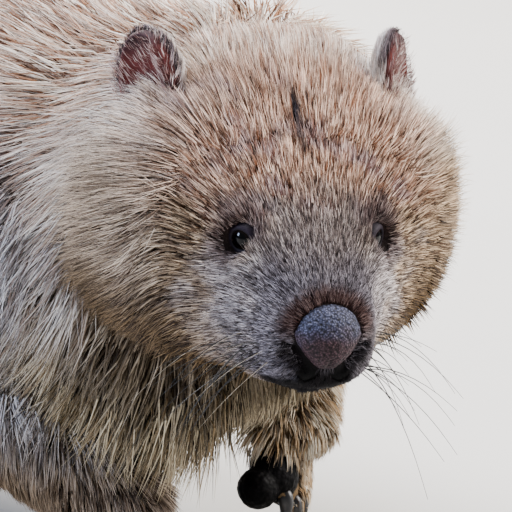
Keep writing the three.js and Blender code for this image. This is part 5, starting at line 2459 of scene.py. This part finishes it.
@dataclass
class Studio:
    """The camera at the photograph's angle, plain soft light and a pale floor.

    Each lamp has its name, its place, its width in metres, its power in watts and its colour.
    """

    anatomy: Anatomy
    azimuth: float = -42.0
    elevation: float = 13.0
    distance: float = 2.0
    pixels: int = 512
    pixels_per_metre: float = 2170.0
    aim: tuple[float, float] = (-54.0, -16.0)
    sensor: float = 36.0
    lamps: tuple = (
        ("sky", (-0.3, 0.7, 2.5), 1.8, 225, 0xF8F8FF),
        ("side", (1.9, -1.6, 1.5), 1.3, 215, 0xFFF9F4),
        ("rim", (1.2, 2.0, 1.5), 1.2, 165, 0xFFF7EE),
        ("window", (-1.75, 0.7, 0.8), 0.5, 44, 0xC8DAFF),
    )
    lit: Triple = (0, -0.1, 0.15)
    sky_colour: tuple[float, ...] = (0.8, 0.86, 0.96, 1)
    sky_strength: float = 0.42
    floor_half: float = 9.0

    def hang(self, name: str, data: bpy.types.ID, spot: object, way: object) -> Object:
        """Places a camera or a lamp.

        Args:
            name: Its name.
            data: Its lens or its light.
            spot: Where it is.
            way: Which way it looks.

        Returns:
            The object, linked to the scene.
        """
        made = bpy.data.objects.new(name, data)
        made.location = spot
        made.rotation_mode = "QUATERNION"
        made.rotation_quaternion = Vector(way).to_track_quat("-Z", "Y")
        bpy.context.scene.collection.objects.link(made)
        return made

    def camera(self) -> None:
        """Makes the camera."""
        a, e = math.radians(self.azimuth), math.radians(self.elevation)
        back = np.array([math.sin(a) * math.cos(e), -math.cos(a) * math.cos(e), math.sin(e)])
        right = np.array([math.cos(a), math.sin(a), 0])
        up = np.cross(back, right)
        aside, above = (step / self.pixels_per_metre for step in self.aim)
        target = self.anatomy.head_origin + right * aside + up * above
        data = bpy.data.cameras.new("camera")
        data.sensor_width = self.sensor
        data.lens = self.sensor * self.distance * self.pixels_per_metre / self.pixels
        spot = target + back * self.distance
        bpy.context.scene.camera = self.hang("camera", data, spot, -back)

    def light(self, name: str, spot: tuple, size: float, power: float, tint: int) -> None:
        """A large soft lamp that faces the animal.

        Args:
            name: Its name.
            spot: Where it is.
            size: Its width in metres.
            power: Its power in watts.
            tint: Its colour.
        """
        data = bpy.data.lights.new(name, "AREA")
        data.size = size
        data.energy = power
        data.color = srgb(tint)
        self.hang(name, data, spot, Vector(self.lit) - Vector(spot))

    def floor(self, finish: Material) -> None:
        """A wide flat floor.

        Args:
            finish: Its material.
        """
        corners = [(-1, -1, 0), (1, -1, 0), (1, 1, 0), (-1, 1, 0)]
        points = np.array(corners, float) * self.floor_half
        made = make_mesh("floor", Shell(points, np.array([[0, 1, 2], [0, 2, 3]])), smooth=False)
        made.data.materials.append(finish)

    def set_up(self) -> None:
        """Makes the camera, the lights and the floor."""
        self.camera()
        for name, *settings in self.lamps:
            self.light(name, *settings)
        world = bpy.data.worlds.new("studio")
        bpy.context.scene.world = world
        world.use_nodes = True
        background = world.node_tree.nodes["Background"]
        background.inputs["Color"].default_value = self.sky_colour
        background.inputs["Strength"].default_value = self.sky_strength
        self.floor(FloorFinish().make())
        LOG.info("studio: camera, lights and floor")


def main() -> None:
    """Builds the pieces in order."""
    logging.basicConfig(level=logging.INFO, format="%(name)s %(message)s")
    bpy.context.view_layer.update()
    anatomy = Anatomy()
    Studio(anatomy).set_up()
    build = Build(anatomy)
    body = BodyMap(build)
    lie = Lie(body)
    coat = Coat(body, HAIR.make())
    Skin(build).dress(lie, coat, UNDER_COAT.make())
    NosePad(anatomy, NOSE_LEATHER.make()).dress()
    eye_finish, lid_finish, ear_finish = WET_EYE.make(), LID_SKIN.make(), EAR_SKIN.make()
    for number, side in enumerate(Side):
        Eye(anatomy, side, eye_finish).dress()
        Lids(anatomy, side, lid_finish).dress()
        Ear(anatomy, side).dress(coat, lie.marks, ear_finish, 60 + number)
    keratin, leather = KERATIN.make(), SOLE_LEATHER.make()
    for foot in build.feet:
        Claws(anatomy, foot, keratin).dress()
        Soles(anatomy, foot, leather).dress()
    Whiskers(anatomy, WhiskerFinish().make()).dress()
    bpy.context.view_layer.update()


if __name__ == "__main__":
    main()
